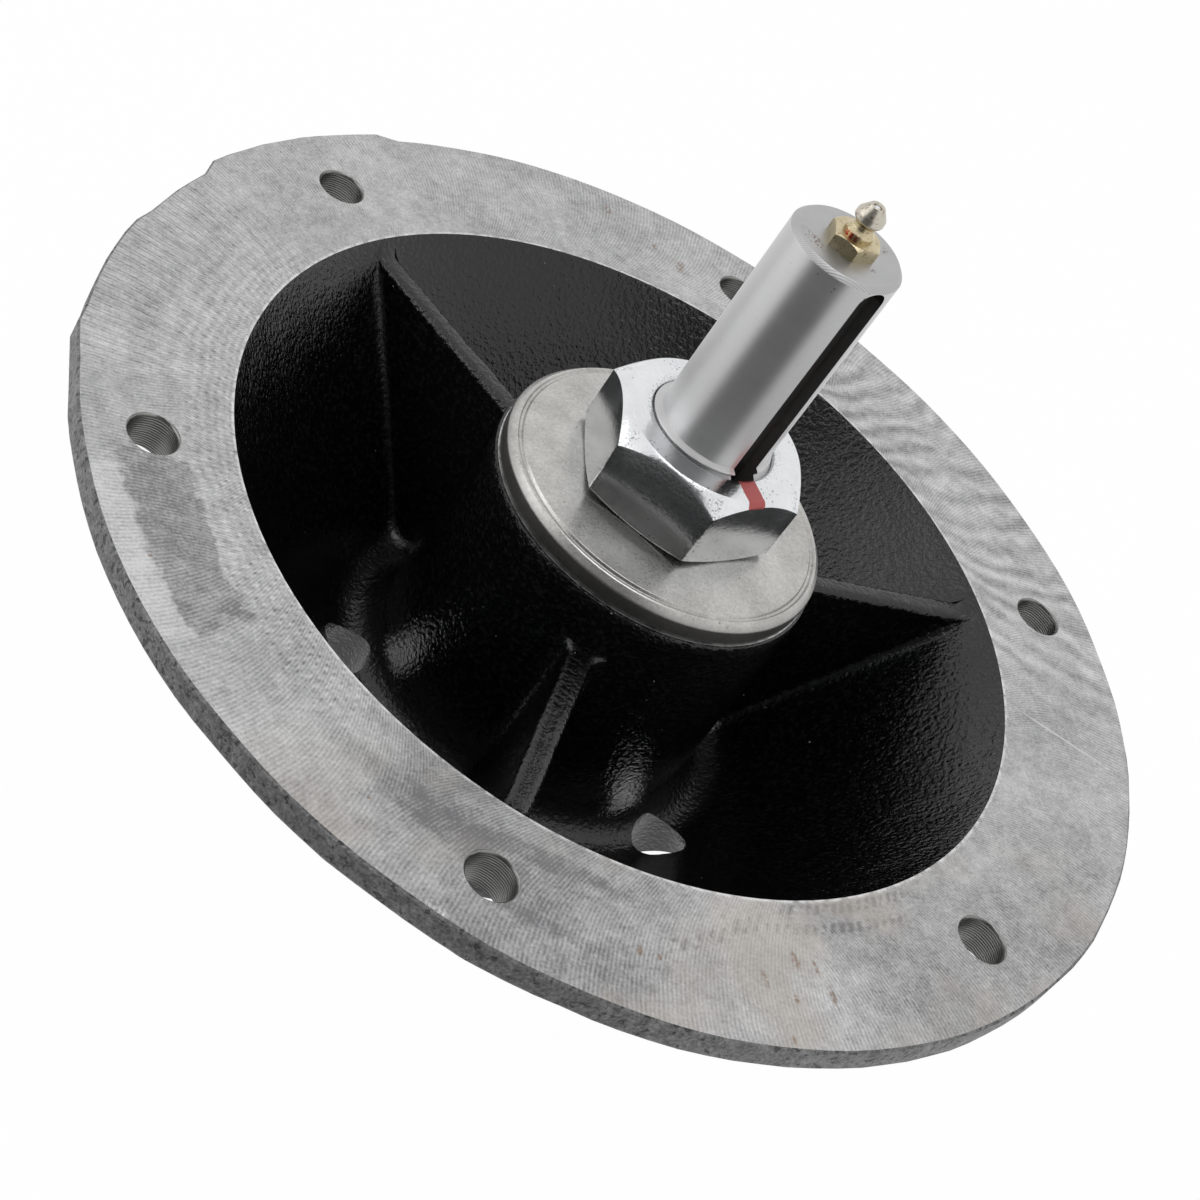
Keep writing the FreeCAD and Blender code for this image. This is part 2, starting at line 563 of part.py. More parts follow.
def jam_nut():
    """Thin hexagon nut, its corners bevelled on both faces and its bore countersunk at the top."""
    body = new_body("jam_nut", height=CAP_TOP, spin="nut_angle")
    pad(body, "hexagon", hexagon(new_sketch(body, "hexagon_outline", "XY_Plane"), "nut_flats"), "nut_height")
    outside = "nut_flats / (2 * cos(30))"
    bore = "thread_radius + thread_clearance"
    turned(body, "corner_bevel", [
        ("nut_face_radius", "nut_height"),
        (f"{outside} * 2 - nut_face_radius", "nut_height"),
        (f"{outside} * 2 - nut_face_radius", "nut_height - nut_corner_drop * 2"),
    ], cut=True)
    turned(body, "base_bevel", [
        ("nut_face_radius", "0"),
        (f"{outside} * 2 - nut_face_radius", "0"),
        (f"{outside} * 2 - nut_face_radius", "nut_base_rise * 2"),
    ], cut=True)
    turned(body, "bore", [
        ("0", "nut_height"),
        (f"{bore} + nut_countersink", "nut_height"),
        (bore, "nut_height - nut_countersink"),
        (bore, "0"),
        ("0", "0"),
    ], cut=True)
    return body


def shield_cap():
    """Turned cap that the nut clamps: a plate, a skirt over the hub and a boss on the upper inner ring."""
    body = new_body("shield_cap", height=TOP_RING_BACK)
    edge_top = "(cap_height - cap_edge_drop)"
    skirt_low = f"(hub_top + skirt_gap - {TOP_RING_BACK})"
    bore = "thread_radius + cap_bore_clearance"
    turned(body, "turned_cap", [
        (bore, "0"),
        (SEAL_JOURNAL_RADIUS, "0"),
        (SEAL_JOURNAL_RADIUS, "cap_height - cap_plate"),
        ("cap_radius - skirt_thickness", "cap_height - cap_plate"),
        ("cap_radius - skirt_thickness", skirt_low),
        ("cap_radius", skirt_low),
        ("cap_radius", f"{edge_top} - cap_edge_round"),
        ("cap_edge_radius", edge_top),
        ("cap_seat_radius", "cap_height"),
        (bore, "cap_height"),
    ])
    groove_out = "cap_edge_radius - cap_groove_margin"
    turned(body, "fine_groove", [
        (f"{groove_out} - cap_groove_width", "cap_height"),
        (groove_out, "cap_height"),
        (groove_out, edge_top),
        (f"{groove_out} - 0.3 * cap_groove_width", f"{edge_top} - cap_groove_depth"),
        (f"{groove_out} - 0.7 * cap_groove_width", f"{edge_top} - cap_groove_depth"),
        (f"{groove_out} - cap_groove_width", edge_top),
    ], cut=True)
    return body


# Inside the fitting, heights from the foot of its hexagon: conical seat, ball below it, then the spring
BALL_HEIGHT = "(fitting_tip - ball_setback - ball_radius)"
SEAT_REACH = "(ball_radius + ball_clearance)"
SEAT_RISE = "fitting_mouth_radius / tan(seat_angle)"
WELL_RISE = "fitting_well_radius / tan(seat_angle)"
SPRING_INSIDE = "(spring_radius - spring_wire / 2)"
SPRING_TOP = f"({BALL_HEIGHT} - sqrt(ball_radius ^ 2 - {SPRING_INSIDE} ^ 2) - spring_clearance)"
SPRING_LENGTH = "(spring_turns * spring_pitch + spring_wire)"
SPRING_LEDGE = f"({SPRING_TOP} - {SPRING_LENGTH} - spring_clearance)"


def grease_fitting_body():
    """Grease nipple with a hexagon, a neck and a ball head."""
    body = new_body("grease_fitting_body", height="shaft_top", spin="fitting_angle")
    hex_sketch = hexagon(new_sketch(body, "hexagon_outline", "XY_Plane"), "fitting_flats")
    pad(body, "hexagon", hex_sketch, "fitting_hex_height")
    corner = "fitting_flats / (2 * cos(30))"
    turned(body, "hexagon_bevel", [
        ("fitting_flats / 2", "fitting_hex_height"),
        (f"{corner} * 2 - fitting_flats / 2", "fitting_hex_height"),
        (f"{corner} * 2 - fitting_flats / 2", "fitting_hex_height - 2 * fitting_hex_bevel"),
    ], cut=True)
    turned(body, "stem", [
        ("0", "0.5 * fitting_hex_height"),
        ("fitting_stem_radius", "0.5 * fitting_hex_height"),
        ("fitting_stem_radius", "-fitting_stem_length"),
        ("0", "-fitting_stem_length"),
    ])
    turned(body, "head", [
        ("0", "0.5 * fitting_hex_height"),
        ("fitting_head_radius", "0.5 * fitting_hex_height"),
        ("fitting_head_radius", "fitting_collar_top - fitting_head_radius + fitting_neck_radius"),
        ("fitting_neck_radius", "fitting_collar_top"),
        ("fitting_neck_radius", "fitting_neck_top"),
        ("fitting_head_radius", "fitting_head_low"),
        ("fitting_head_radius", "fitting_head_high"),
        ("fitting_tip_radius", "fitting_tip"),
        ("0", "fitting_tip"),
    ])
    turned(body, "passage", [
        ("0", "fitting_tip"),
        ("fitting_mouth_radius", "fitting_tip"),
        ("fitting_mouth_radius", f"{BALL_HEIGHT} + {SEAT_REACH} / sin(seat_angle) - {SEAT_RISE}"),
        ("fitting_well_radius", f"{BALL_HEIGHT} + {SEAT_REACH} / sin(seat_angle) - {WELL_RISE}"),
        ("fitting_well_radius", SPRING_LEDGE),
        ("fitting_ledge_radius", SPRING_LEDGE),
        ("fitting_ledge_radius", "-fitting_stem_length"),
        ("0", "-fitting_stem_length"),
    ], cut=True)
    return body


def grease_seal(label, height, upside_down):
    """Grease seal, its rubber lip bonded to its steel case; its outer face points up before placing."""
    body = new_body(label, height=height, upside_down=upside_down)
    lip = f"{SEAL_JOURNAL_RADIUS} + lip_clearance"
    turned(body, "seal_section", [
        (SEAL_RADIUS, "0"),
        (SEAL_RADIUS, "seal_width"),
        (lip, "seal_width"),
        (lip, "seal_width - seal_web"),
        (f"{SEAL_RADIUS} - seal_case_wall", "seal_width - seal_web"),
        (f"{SEAL_RADIUS} - seal_case_wall", "0"),
    ])
    return body


def outer_race_radius(height):
    """Radius of the outer race at a height above the shoulder."""
    return f"({OUTER_RACE_MIDDLE} + (({height}) - {ROLLER_MIDDLE}) * tan({OUTER_ANGLE}))"


def inner_race_radius(height):
    """Radius of the inner race at a height above the shoulder."""
    return f"({INNER_RACE_MIDDLE} + (({height}) - {ROLLER_MIDDLE}) * tan({INNER_ANGLE}))"


def bearing_outer_ring(label, height, upside_down):
    """Outer ring with its conical race, pressed into the hub against the shoulder."""
    body = new_body(label, height=height, upside_down=upside_down)
    turned(body, "ring", [
        (OUTER_RING_RADIUS, "0"),
        (OUTER_RING_RADIUS, "outer_ring_width"),
        (outer_race_radius("outer_ring_width"), "outer_ring_width"),
        (outer_race_radius("0"), "0"),
    ])
    return body


def bearing_inner_ring(label, height, upside_down):
    """Inner ring with its conical race and the thrust rib that the rollers' large ends run on."""
    body = new_body(label, height=height, upside_down=upside_down)
    end_rise = f"(roller_length / 2 * cos(roller_tilt) + {LARGE_RADIUS} * sin(roller_tilt))"
    rib_face = f"({ROLLER_MIDDLE} + {end_rise} + rib_clearance)"
    front = "(bearing_width - inner_ring_width)"
    bore = "journal_radius + press_clearance"
    turned(body, "ring", [
        (bore, front),
        (inner_race_radius(front), front),
        (inner_race_radius(rib_face), rib_face),
        (RIB_RING_RADIUS, rib_face),
        (RIB_RING_RADIUS, "bearing_width"),
        (bore, "bearing_width"),
    ])
    return body


def polygon(sketch, sides, radius, first="0"):
    """A regular polygon about the sketch's origin; the radius is to its corners."""
    steps = round(value(sides))
    corners = [f"(({first}) + {step} * 360 / {steps})" for step in range(steps)]
    return outline(sketch, [(f"{radius} * cos({angle})", f"{radius} * sin({angle})") for angle in corners])


def bearing_rollers(label, height, upside_down):
    """The ring of tapered rollers."""
    body = new_body(label, height=height, upside_down=upside_down)
    body.AllowCompound = True
    place = {"x": SMALL_END_RADIUS, "z": SMALL_END_HEIGHT}
    sketch = new_sketch(body, "roller_end", "XY_Plane", lift=place, turn_axis=(0, 1, 0), turn="roller_tilt")
    polygon(sketch, "roller_sides", SMALL_RADIUS, "180 / roller_sides")
    roller = pad(body, "roller", sketch, "roller_length", taper="roller_taper")
    ring_pattern(body, "rollers", [roller], "roller_count")
    return body


def cage_section(body, name, height, offset):
    """The cage's many-sided section at a height, its flats at an offset from the roller centres."""
    along = f"({height} - {ROLLER_MIDDLE}) * tan(roller_tilt)"
    across = f"({PITCH_RADIUS} + {along} + ({offset}) / cos(roller_tilt))"
    sketch = new_sketch(body, name, "XY_Plane", lift={"z": height})
    return polygon(sketch, "roller_count", f"{across} / cos(180 / roller_count)", "180 / roller_count")


def loft(body, name, sections, cut=False):
    """A straight-sided body through two sections, or the same cut away."""
    feature = body.newObject("PartDesign::SubtractiveLoft" if cut else "PartDesign::AdditiveLoft", name)
    feature.Profile = sections[0]
    feature.Sections = [(sections[1], [""])]
    feature.Ruled = True
    doc.recompute()
    return feature


def bearing_cage(label, height, upside_down):
    """Pressed conical cage with a window for each roller and a turned-in edge at its small end."""
    body = new_body(label, height=height, upside_down=upside_down)
    reach = "((roller_length / 2 + cage_margin) * cos(roller_tilt))"
    low, high = (f"({ROLLER_MIDDLE} - {reach})", f"({ROLLER_MIDDLE} + {reach})")
    plate = f"({low} + cage_thickness)"
    outer = "cage_offset + cage_thickness / 2"
    inner = "cage_offset - cage_thickness / 2"
    loft(body, "plate", [
        cage_section(body, "plate_low", low, outer),
        cage_section(body, "plate_high", high, outer),
    ])
    loft(body, "hollow", [
        cage_section(body, "hollow_low", plate, inner),
        cage_section(body, "hollow_high", high, inner),
    ], cut=True)
    eye_sketch = new_sketch(body, "eye_outline", "XY_Plane", lift={"z": low})
    eye = "(journal_radius + cage_eye_gap)"
    polygon(eye_sketch, "roller_count", f"{eye} / cos(180 / roller_count)", "180 / roller_count")
    pocket(body, "eye", eye_sketch, "cage_thickness", reverse=True)

    # The window's own height axis lies along the roller, and its normal points away from the axis
    across = f"({PITCH_RADIUS} + cage_offset * cos(roller_tilt))"
    place = {"y": f"({ROLLER_MIDDLE} - cage_offset * sin(roller_tilt))", "z": across}
    sketch = new_sketch(body, "window_outline", "YZ_Plane", place, turn_axis=(1, 0, 0), turn="roller_tilt")
    long = "(roller_length / 2 + window_clearance)"
    wide = f"({LARGE_RADIUS} + window_clearance)"
    narrow = f"({SMALL_RADIUS} + window_clearance)"
    outline(sketch, [(narrow, f"-{long}"), (wide, long), (f"-{wide}", long), (f"-{narrow}", f"-{long}")])
    window = pocket(body, "window", sketch, "4 * cage_thickness", both_ways=True)
    ring_pattern(body, "windows", [window], "roller_count")
    return body


def bearing_spacer():
    """Tube that keeps the inner rings apart, with a hole that lets the grease through."""
    length = f"({TOP_SHOULDER} - {LOW_SHOULDER} + 2 * (bearing_width - inner_ring_width))"
    body = new_body("bearing_spacer", height=f"({GREASE_LEVEL} - {length} / 2)", spin="keyway_angle")
    bore = "journal_radius + spacer_clearance"
    turned(body, "tube", [(bore, "0"), (SPACER_RADIUS, "0"), (SPACER_RADIUS, length), (bore, length)])
    hole_sketch = new_sketch(body, "hole_outline", "YZ_Plane")
    circle(hole_sketch, ("0", f"{length} / 2"), "grease_bore_radius")
    pocket(body, "hole", hole_sketch, f"{SPACER_RADIUS} + 1", reverse=True)
    return body


def grease_check_ball():
    """Ball that closes the fitting's tip from inside."""
    body = new_body("grease_check_ball", height=f"(shaft_top + {BALL_HEIGHT})")
    ball = body.newObject("PartDesign::AdditiveSphere", "ball")
    ball.setExpression("Radius", bound("ball_radius"))
    doc.recompute()
    return body


def grease_check_spring():
    """Spring that holds the ball against its seat; it stands on the ledge in the fitting."""
    foot = f"(shaft_top + {SPRING_LEDGE} + spring_clearance + spring_wire / 2)"
    body = new_body("grease_check_spring", height=foot)
    half = "spring_wire / 2"
    sketch = outline(new_sketch(body, "wire_section", "XZ_Plane"), [
        (f"spring_radius - {half}", f"-{half}"),
        (f"spring_radius + {half}", f"-{half}"),
        (f"spring_radius + {half}", half),
        (f"spring_radius - {half}", half),
    ])
    coil = body.newObject("PartDesign::AdditiveHelix", "coil")
    coil.Profile = sketch
    coil.ReferenceAxis = (sketch, ["V_Axis"])
    coil.Mode = "pitch-turns-angle"
    coil.setExpression("Pitch", bound("spring_pitch"))
    coil.setExpression("Turns", bound("spring_turns"))
    doc.recompute()
    return body


doc.recompute()
spindle_housing()
for end, shoulder, seal_foot, turned_over in (
    ("upper", TOP_SHOULDER, "(hub_top - seal_setback - seal_width)", False),
    ("lower", LOW_SHOULDER, f"({HUB_BOTTOM} + seal_setback + seal_width)", True),
):
    bearing_outer_ring(f"{end}_bearing_outer_ring", shoulder, turned_over)
    bearing_inner_ring(f"{end}_bearing_inner_ring", shoulder, turned_over)
    bearing_rollers(f"{end}_bearing_rollers", shoulder, turned_over)
    bearing_cage(f"{end}_bearing_cage", shoulder, turned_over)
    grease_seal(f"{end}_grease_seal", seal_foot, turned_over)
bearing_spacer()
grease_check_ball()
grease_check_spring()
spindle_shaft()
jam_nut()
shield_cap()
grease_fitting_body()

doc.recompute()
broken = [item.Label for item in doc.Objects if {"Invalid", "Error"} & set(item.State)]
if broken:
    raise RuntimeError(f"these objects failed: {broken}")
os.makedirs("parts", exist_ok=True)
for part in [item for item in doc.Objects if item.TypeId == "PartDesign::Body"]:
    if part.Shape.isNull() or not part.Shape.isValid():
        raise RuntimeError(f"{part.Label} has no valid shape")
    part.Shape.exportStep(f"parts/{part.Label}.step")
    print(part.Label, len(part.Shape.Solids), round(part.Shape.Volume, 1), part.Shape.BoundBox)
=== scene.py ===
"""Mower deck spindle: looks, light and camera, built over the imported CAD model."""

import bmesh
import bpy
import json
import math
from mathutils import Matrix, Vector, noise


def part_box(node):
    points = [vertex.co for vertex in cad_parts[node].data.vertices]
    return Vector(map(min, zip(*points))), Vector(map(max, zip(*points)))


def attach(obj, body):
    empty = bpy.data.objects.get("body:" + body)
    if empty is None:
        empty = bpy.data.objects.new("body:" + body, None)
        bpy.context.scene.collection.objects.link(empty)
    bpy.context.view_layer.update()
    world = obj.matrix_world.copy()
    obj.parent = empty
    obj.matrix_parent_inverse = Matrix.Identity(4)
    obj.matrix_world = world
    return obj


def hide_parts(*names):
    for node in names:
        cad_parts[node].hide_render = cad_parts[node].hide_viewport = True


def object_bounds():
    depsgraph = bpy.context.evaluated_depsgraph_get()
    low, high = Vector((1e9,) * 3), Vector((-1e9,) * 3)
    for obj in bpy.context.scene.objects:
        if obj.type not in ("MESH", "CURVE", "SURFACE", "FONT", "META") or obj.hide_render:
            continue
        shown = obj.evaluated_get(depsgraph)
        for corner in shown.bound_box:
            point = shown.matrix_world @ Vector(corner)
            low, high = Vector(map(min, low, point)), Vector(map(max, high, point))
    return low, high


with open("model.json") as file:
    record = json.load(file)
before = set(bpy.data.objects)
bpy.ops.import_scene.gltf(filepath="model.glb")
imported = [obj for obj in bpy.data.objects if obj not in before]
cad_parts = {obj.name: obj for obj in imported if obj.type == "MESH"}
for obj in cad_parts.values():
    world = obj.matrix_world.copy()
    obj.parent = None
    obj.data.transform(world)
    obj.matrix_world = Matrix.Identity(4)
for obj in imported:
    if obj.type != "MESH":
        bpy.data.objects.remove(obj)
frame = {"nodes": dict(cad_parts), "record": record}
CAD_BOX = [list(corner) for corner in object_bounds()]

MM = 0.001
MOUNTS = {mount["name"]: mount for mount in frame["record"]["mounts"]}

# The housing, in millimetres
FLANGE_RADIUS = 128.2
FLANGE_THICKNESS = 6.4
FLANGE_SLOPE = 0.15
BOLT_CIRCLE = MOUNTS["deck_bolts"]["dims"]["pcd_mm"] / 2
BOLT_HOLE = MOUNTS["deck_bolts"]["dims"]["hole_r_mm"]
MOUTH = 94.8
WALL_ANGLE = math.radians(40.36)
WALL_THICKNESS = 5.5
GROOVE_ROUND = 7.0
HUB_RADIUS = 39.0
HUB_DRAFT = math.radians(0.72)
HUB_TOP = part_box("spindle_housing")[1].z / MM
HUB_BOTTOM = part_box("spindle_housing")[0].z / MM
RIB_HALF = 2.9
RIB_TOP = -3.0
RIB_ROUND = 1.8
RIB_FOOT = 3.2
RIB_DRAFT = 0.012
DRAIN_CIRCLE = 47.8
DRAIN = 6.0
DRAIN_TOP, DRAIN_NECK, DRAIN_LOW = -35.0, -50.0, -72.0
DRAIN_FLARE = 8.0
DRAIN_LEAN = 0.29
BOLT_TURNS = [number * math.pi / 3 for number in range(6)]
DRAIN_TURNS = [math.pi / 3 + number * 2 * math.pi / 3 for number in range(3)]
# How far the rim stands out, between which angles, and over how many degrees it fades
RIM_SWELLS = ((2.3, 109.0, 133.5, 0.8), (0.9, 149.0, 171.0, 1.5), (0.7, 166.0, 167.5, 0.8))
RIM_MOST = 2.25
SEAL_SEAT = 30.175
RING_SEAT = 29.575
MIDDLE_BORE = 26.0
SEAT_DEPTH = 7.5
SHOULDER_DEPTH = 23.775

# The shaft and what sits on it
SHAFT = MOUNTS["pulley_seat"]["dims"]["r_mm"]
SHAFT_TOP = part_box("spindle_shaft")[1].z / MM
SHAFT_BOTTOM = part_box("spindle_shaft")[0].z / MM
KEYWAY_ANGLE = math.radians(286.35)
KEYWAY_WIDTH = 6.35
KEYWAY_FLOOR = 9.525
KEYWAY_LAND = 1.1
KEYWAY_LOW = SHAFT_TOP - KEYWAY_LAND - 61.7
THREAD = 14.2875
THREAD_PITCH = 2.1167
THREAD_DEPTH = 1.15
THREAD_CREST, THREAD_FLANKS = 0.12, 0.70
THREAD_TOP = 35.0
THREAD_LOW = 31.0
JOURNAL = 15.875
JOURNAL_TOP, JOURNAL_LOW = -1.0, -78.1
SEAL_JOURNAL = 20.64
BLADE_SEAT = 25.4
BLADE_SEAT_BOTTOM = -96.5
BLADE_HOLE = 7.25
BLADE_HOLE_DEPTH = 38
DRILL_POINT = math.radians(59)
CAP_LOW, CAP_TOP = (corner.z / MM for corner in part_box("shield_cap"))
CAP_RADIUS = 38.1
CAP_EDGE = 36.7
CAP_SEAT = 25.0
CAP_DROP = 1.4
CAP_WALL = 1.4
CAP_PLATE = 4.5
CAP_SKIRT_LOW = HUB_TOP + 0.6
NUT_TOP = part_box("jam_nut")[1].z / MM
NUT_ANGLE = math.radians(18.0)
NUT_FLATS = 42.86
NUT_FACE = 20.7
NUT_CORNER_DROP = 3.8
NUT_BASE_RISE = 1.5
FITTING_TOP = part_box("grease_fitting_body")[1].z / MM
FITTING_ANGLE = math.radians(14.0)
FITTING_FLATS = 10.0
FITTING_HEX = 3.1


# ---- meshes ----
def soften(corners, steps):
    """A line through the corners; a corner's third value is the radius that rounds it."""
    line = []
    for number, corner in enumerate(corners):
        place = Vector(corner[:2])
        if len(corner) == 2 or not corner[2]:
            line.append(place)
            continue
        back = (Vector(corners[number - 1][:2]) - place).normalized()
        ahead = (Vector(corners[(number + 1) % len(corners)][:2]) - place).normalized()
        half = back.angle(ahead) / 2
        centre = place + (back + ahead).normalized() * (corner[2] / math.sin(half))
        first = place + back * (corner[2] / math.tan(half)) - centre
        last = place + ahead * (corner[2] / math.tan(half)) - centre
        sweep = first.angle_signed(last)
        for step in range(steps + 1):
            turned = Matrix.Rotation(-sweep * step / steps, 2) @ first
            line.append(centre + turned)
    return line


def around(reach, turn, height):
    """The point at that reach from the axis, angle and height: from millimetres to metres."""
    return reach * MM * math.cos(turn), reach * MM * math.sin(turn), height * MM


def new_object(name, mesh):
    """An object that holds the mesh, at the origin."""
    piece = bpy.data.objects.new(name, mesh)
    bpy.context.scene.collection.objects.link(piece)
    return piece


def finish_piece(piece, body, node, materials, sharp):
    """Shades the piece, gives it its materials and its body, and lets it stand for its CAD node."""
    for material in materials:
        piece.data.materials.append(material)
    piece.data.shade_smooth()
    piece.data.set_sharp_from_angle(angle=math.radians(sharp))
    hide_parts(node)
    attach(piece, body)


def mesh_of(name, built):
    """A mesh that holds the built faces."""
    mesh = bpy.data.meshes.new(name)
    built.to_mesh(mesh)
    built.free()
    return mesh


def closed_piece(name, built):
    """An object of the built faces, all facing outwards."""
    bmesh.ops.recalc_face_normals(built, faces=built.faces)
    return new_object(name, mesh_of(name, built))


def revolve(name, line, steps, closed=True, shaped=None):
    """A surface of revolution about the Z axis from a line of (radius, height) in millimetres."""
    built = bmesh.new()
    rings = []
    for radius, height in line:
        if radius < 1e-6:
            rings.append([built.verts.new((0, 0, height * MM))] * steps)
            continue
        ring = []
        for step in range(steps):
            angle = 2 * math.pi * step / steps
            reach = shaped(radius, height, angle) if shaped else radius
            ring.append(built.verts.new(around(reach, angle, height)))
        rings.append(ring)
    for upper, lower in zip(rings, rings[1:] + rings[:1] * closed):
        for step in range(steps):
            ahead = (step + 1) % steps
            corners = []
            for vertex in (upper[step], upper[ahead], lower[ahead], lower[step]):
                if vertex not in corners:
                    corners.append(vertex)
            if len(corners) > 2:
                built.faces.new(corners)
    return closed_piece(name, built)


def bar(name, outlines):
    """A closed bar from one outline to another with as many points."""
    built = bmesh.new()
    near, far = ([built.verts.new(place) for place in outline] for outline in outlines)
    for number in range(len(near)):
        ahead = (number + 1) % len(near)
        built.faces.new((near[number], near[ahead], far[ahead], far[number]))
    built.faces.new(near)
    built.faces.new(far)
    return closed_piece(name, built)


def hexagon_bar(name, flats, turn, low, high):
    """An upright hexagonal bar between two heights."""
    corner = flats / math.sqrt(3)
    turns = [turn + number * math.pi / 3 for number in range(6)]
    return bar(name, [[around(corner, angle, height) for angle in turns] for height in (low, high)])


def corner_tool(name, face, corner, end, drop):
    """A ring whose slanted side bevels a hexagon's corners; a negative drop is for its lower end."""
    far = corner + 3.0
    side = end - (far - face) * drop / (corner - face)
    out = end + math.copysign(2.0, drop)
    return revolve(name, [(face, end), (face, out), (far, out), (far, side)], 144)


def settle(piece):
    """Makes the piece's modifiers part of its mesh."""
    bpy.context.view_layer.update()
    whole = piece.evaluated_get(bpy.context.evaluated_depsgraph_get())
    piece.data = bpy.data.meshes.new_from_object(whole)
    piece.modifiers.clear()


def cut(piece, *tools):
    """Cuts the tools' solids out of the piece, then removes the tools."""
    for tool in tools:
        change = piece.modifiers.new("cut", "BOOLEAN")
        change.operation = "DIFFERENCE"
        change.solver = "EXACT"
        change.object = tool
    settle(piece)
    for tool in tools:
        bpy.data.objects.remove(tool)


def soft_edges(piece, width, angle):
    """Rounds every edge sharper than the angle."""
    change = piece.modifiers.new("soft_edges", "BEVEL")
    change.width = width * MM
    change.segments = 3
    change.limit_method = "ANGLE"
    change.angle_limit = math.radians(angle)
    settle(piece)


# ---- shader maths ----
def feed(socket, item):
    """Links a wire or another node's output to the socket, or sets the socket's own value."""
    item = item.socket if isinstance(item, Wire) else item
    if isinstance(item, bpy.types.NodeSocket):
        socket.id_data.links.new(item, socket)
    else:
        socket.default_value = item


def both_ways(operation):
    """An operator that adds a Math node, and its reflected form."""
    return (lambda wire, other: wire.calc(operation, wire, other),
            lambda wire, other: wire.calc(operation, other, wire))


class Wire:
    """A number that varies over a surface, with Python's own arithmetic."""

    __add__, __radd__ = both_ways("ADD")
    __sub__, __rsub__ = both_ways("SUBTRACT")
    __mul__, __rmul__ = both_ways("MULTIPLY")
    __truediv__, __rtruediv__ = both_ways("DIVIDE")
    __pow__, __rpow__ = both_ways("POWER")

    def __init__(self, tree, socket):
        self.tree = tree
        self.socket = socket

    def calc(self, operation, *items, clamp=False):
        """A Math node on the numbers or wires."""
        node = self.tree.nodes.new("ShaderNodeMath")
        node.operation = operation
        node.use_clamp = clamp
        for socket, item in zip(node.inputs, items):
            feed(socket, item)
        return Wire(self.tree, node.outputs[0])

    def __abs__(self):
        return self.calc("ABSOLUTE", self)

    def below(self, level):
        """1 where the number is under the level."""
        return self.calc("LESS_THAN", self, level)

    def above(self, level):
        """1 where the number is over the level."""
        return self.calc("GREATER_THAN", self, level)

    def wave(self):
        """The sine of the number."""
        return self.calc("SINE", self)

    def near(self, middle, half, soft):
        """1 within half of the middle, falling to 0 over soft."""
        return 1.0 - abs(self - middle).ramp(half, half + soft)

    def held(self):
        """The number kept between 0 and 1."""
        return self.calc("ADD", self, 0.0, clamp=True)

    def lesser(self, other):
        """The smaller of two numbers."""
        return self.calc("MINIMUM", self, other)

    def greater(self, other):
        """The larger of two numbers."""
        return self.calc("MAXIMUM", self, other)

    def ramp(self, low, high):
        """0 up to low, 1 from high, and smooth between them."""
        node = self.tree.nodes.new("ShaderNodeMapRange")
        node.interpolation_type = "SMOOTHSTEP"
        for name, item in (("Value", self), ("From Min", low), ("From Max", high)):
            feed(node.inputs[name], item)
        return Wire(self.tree, node.outputs[0])


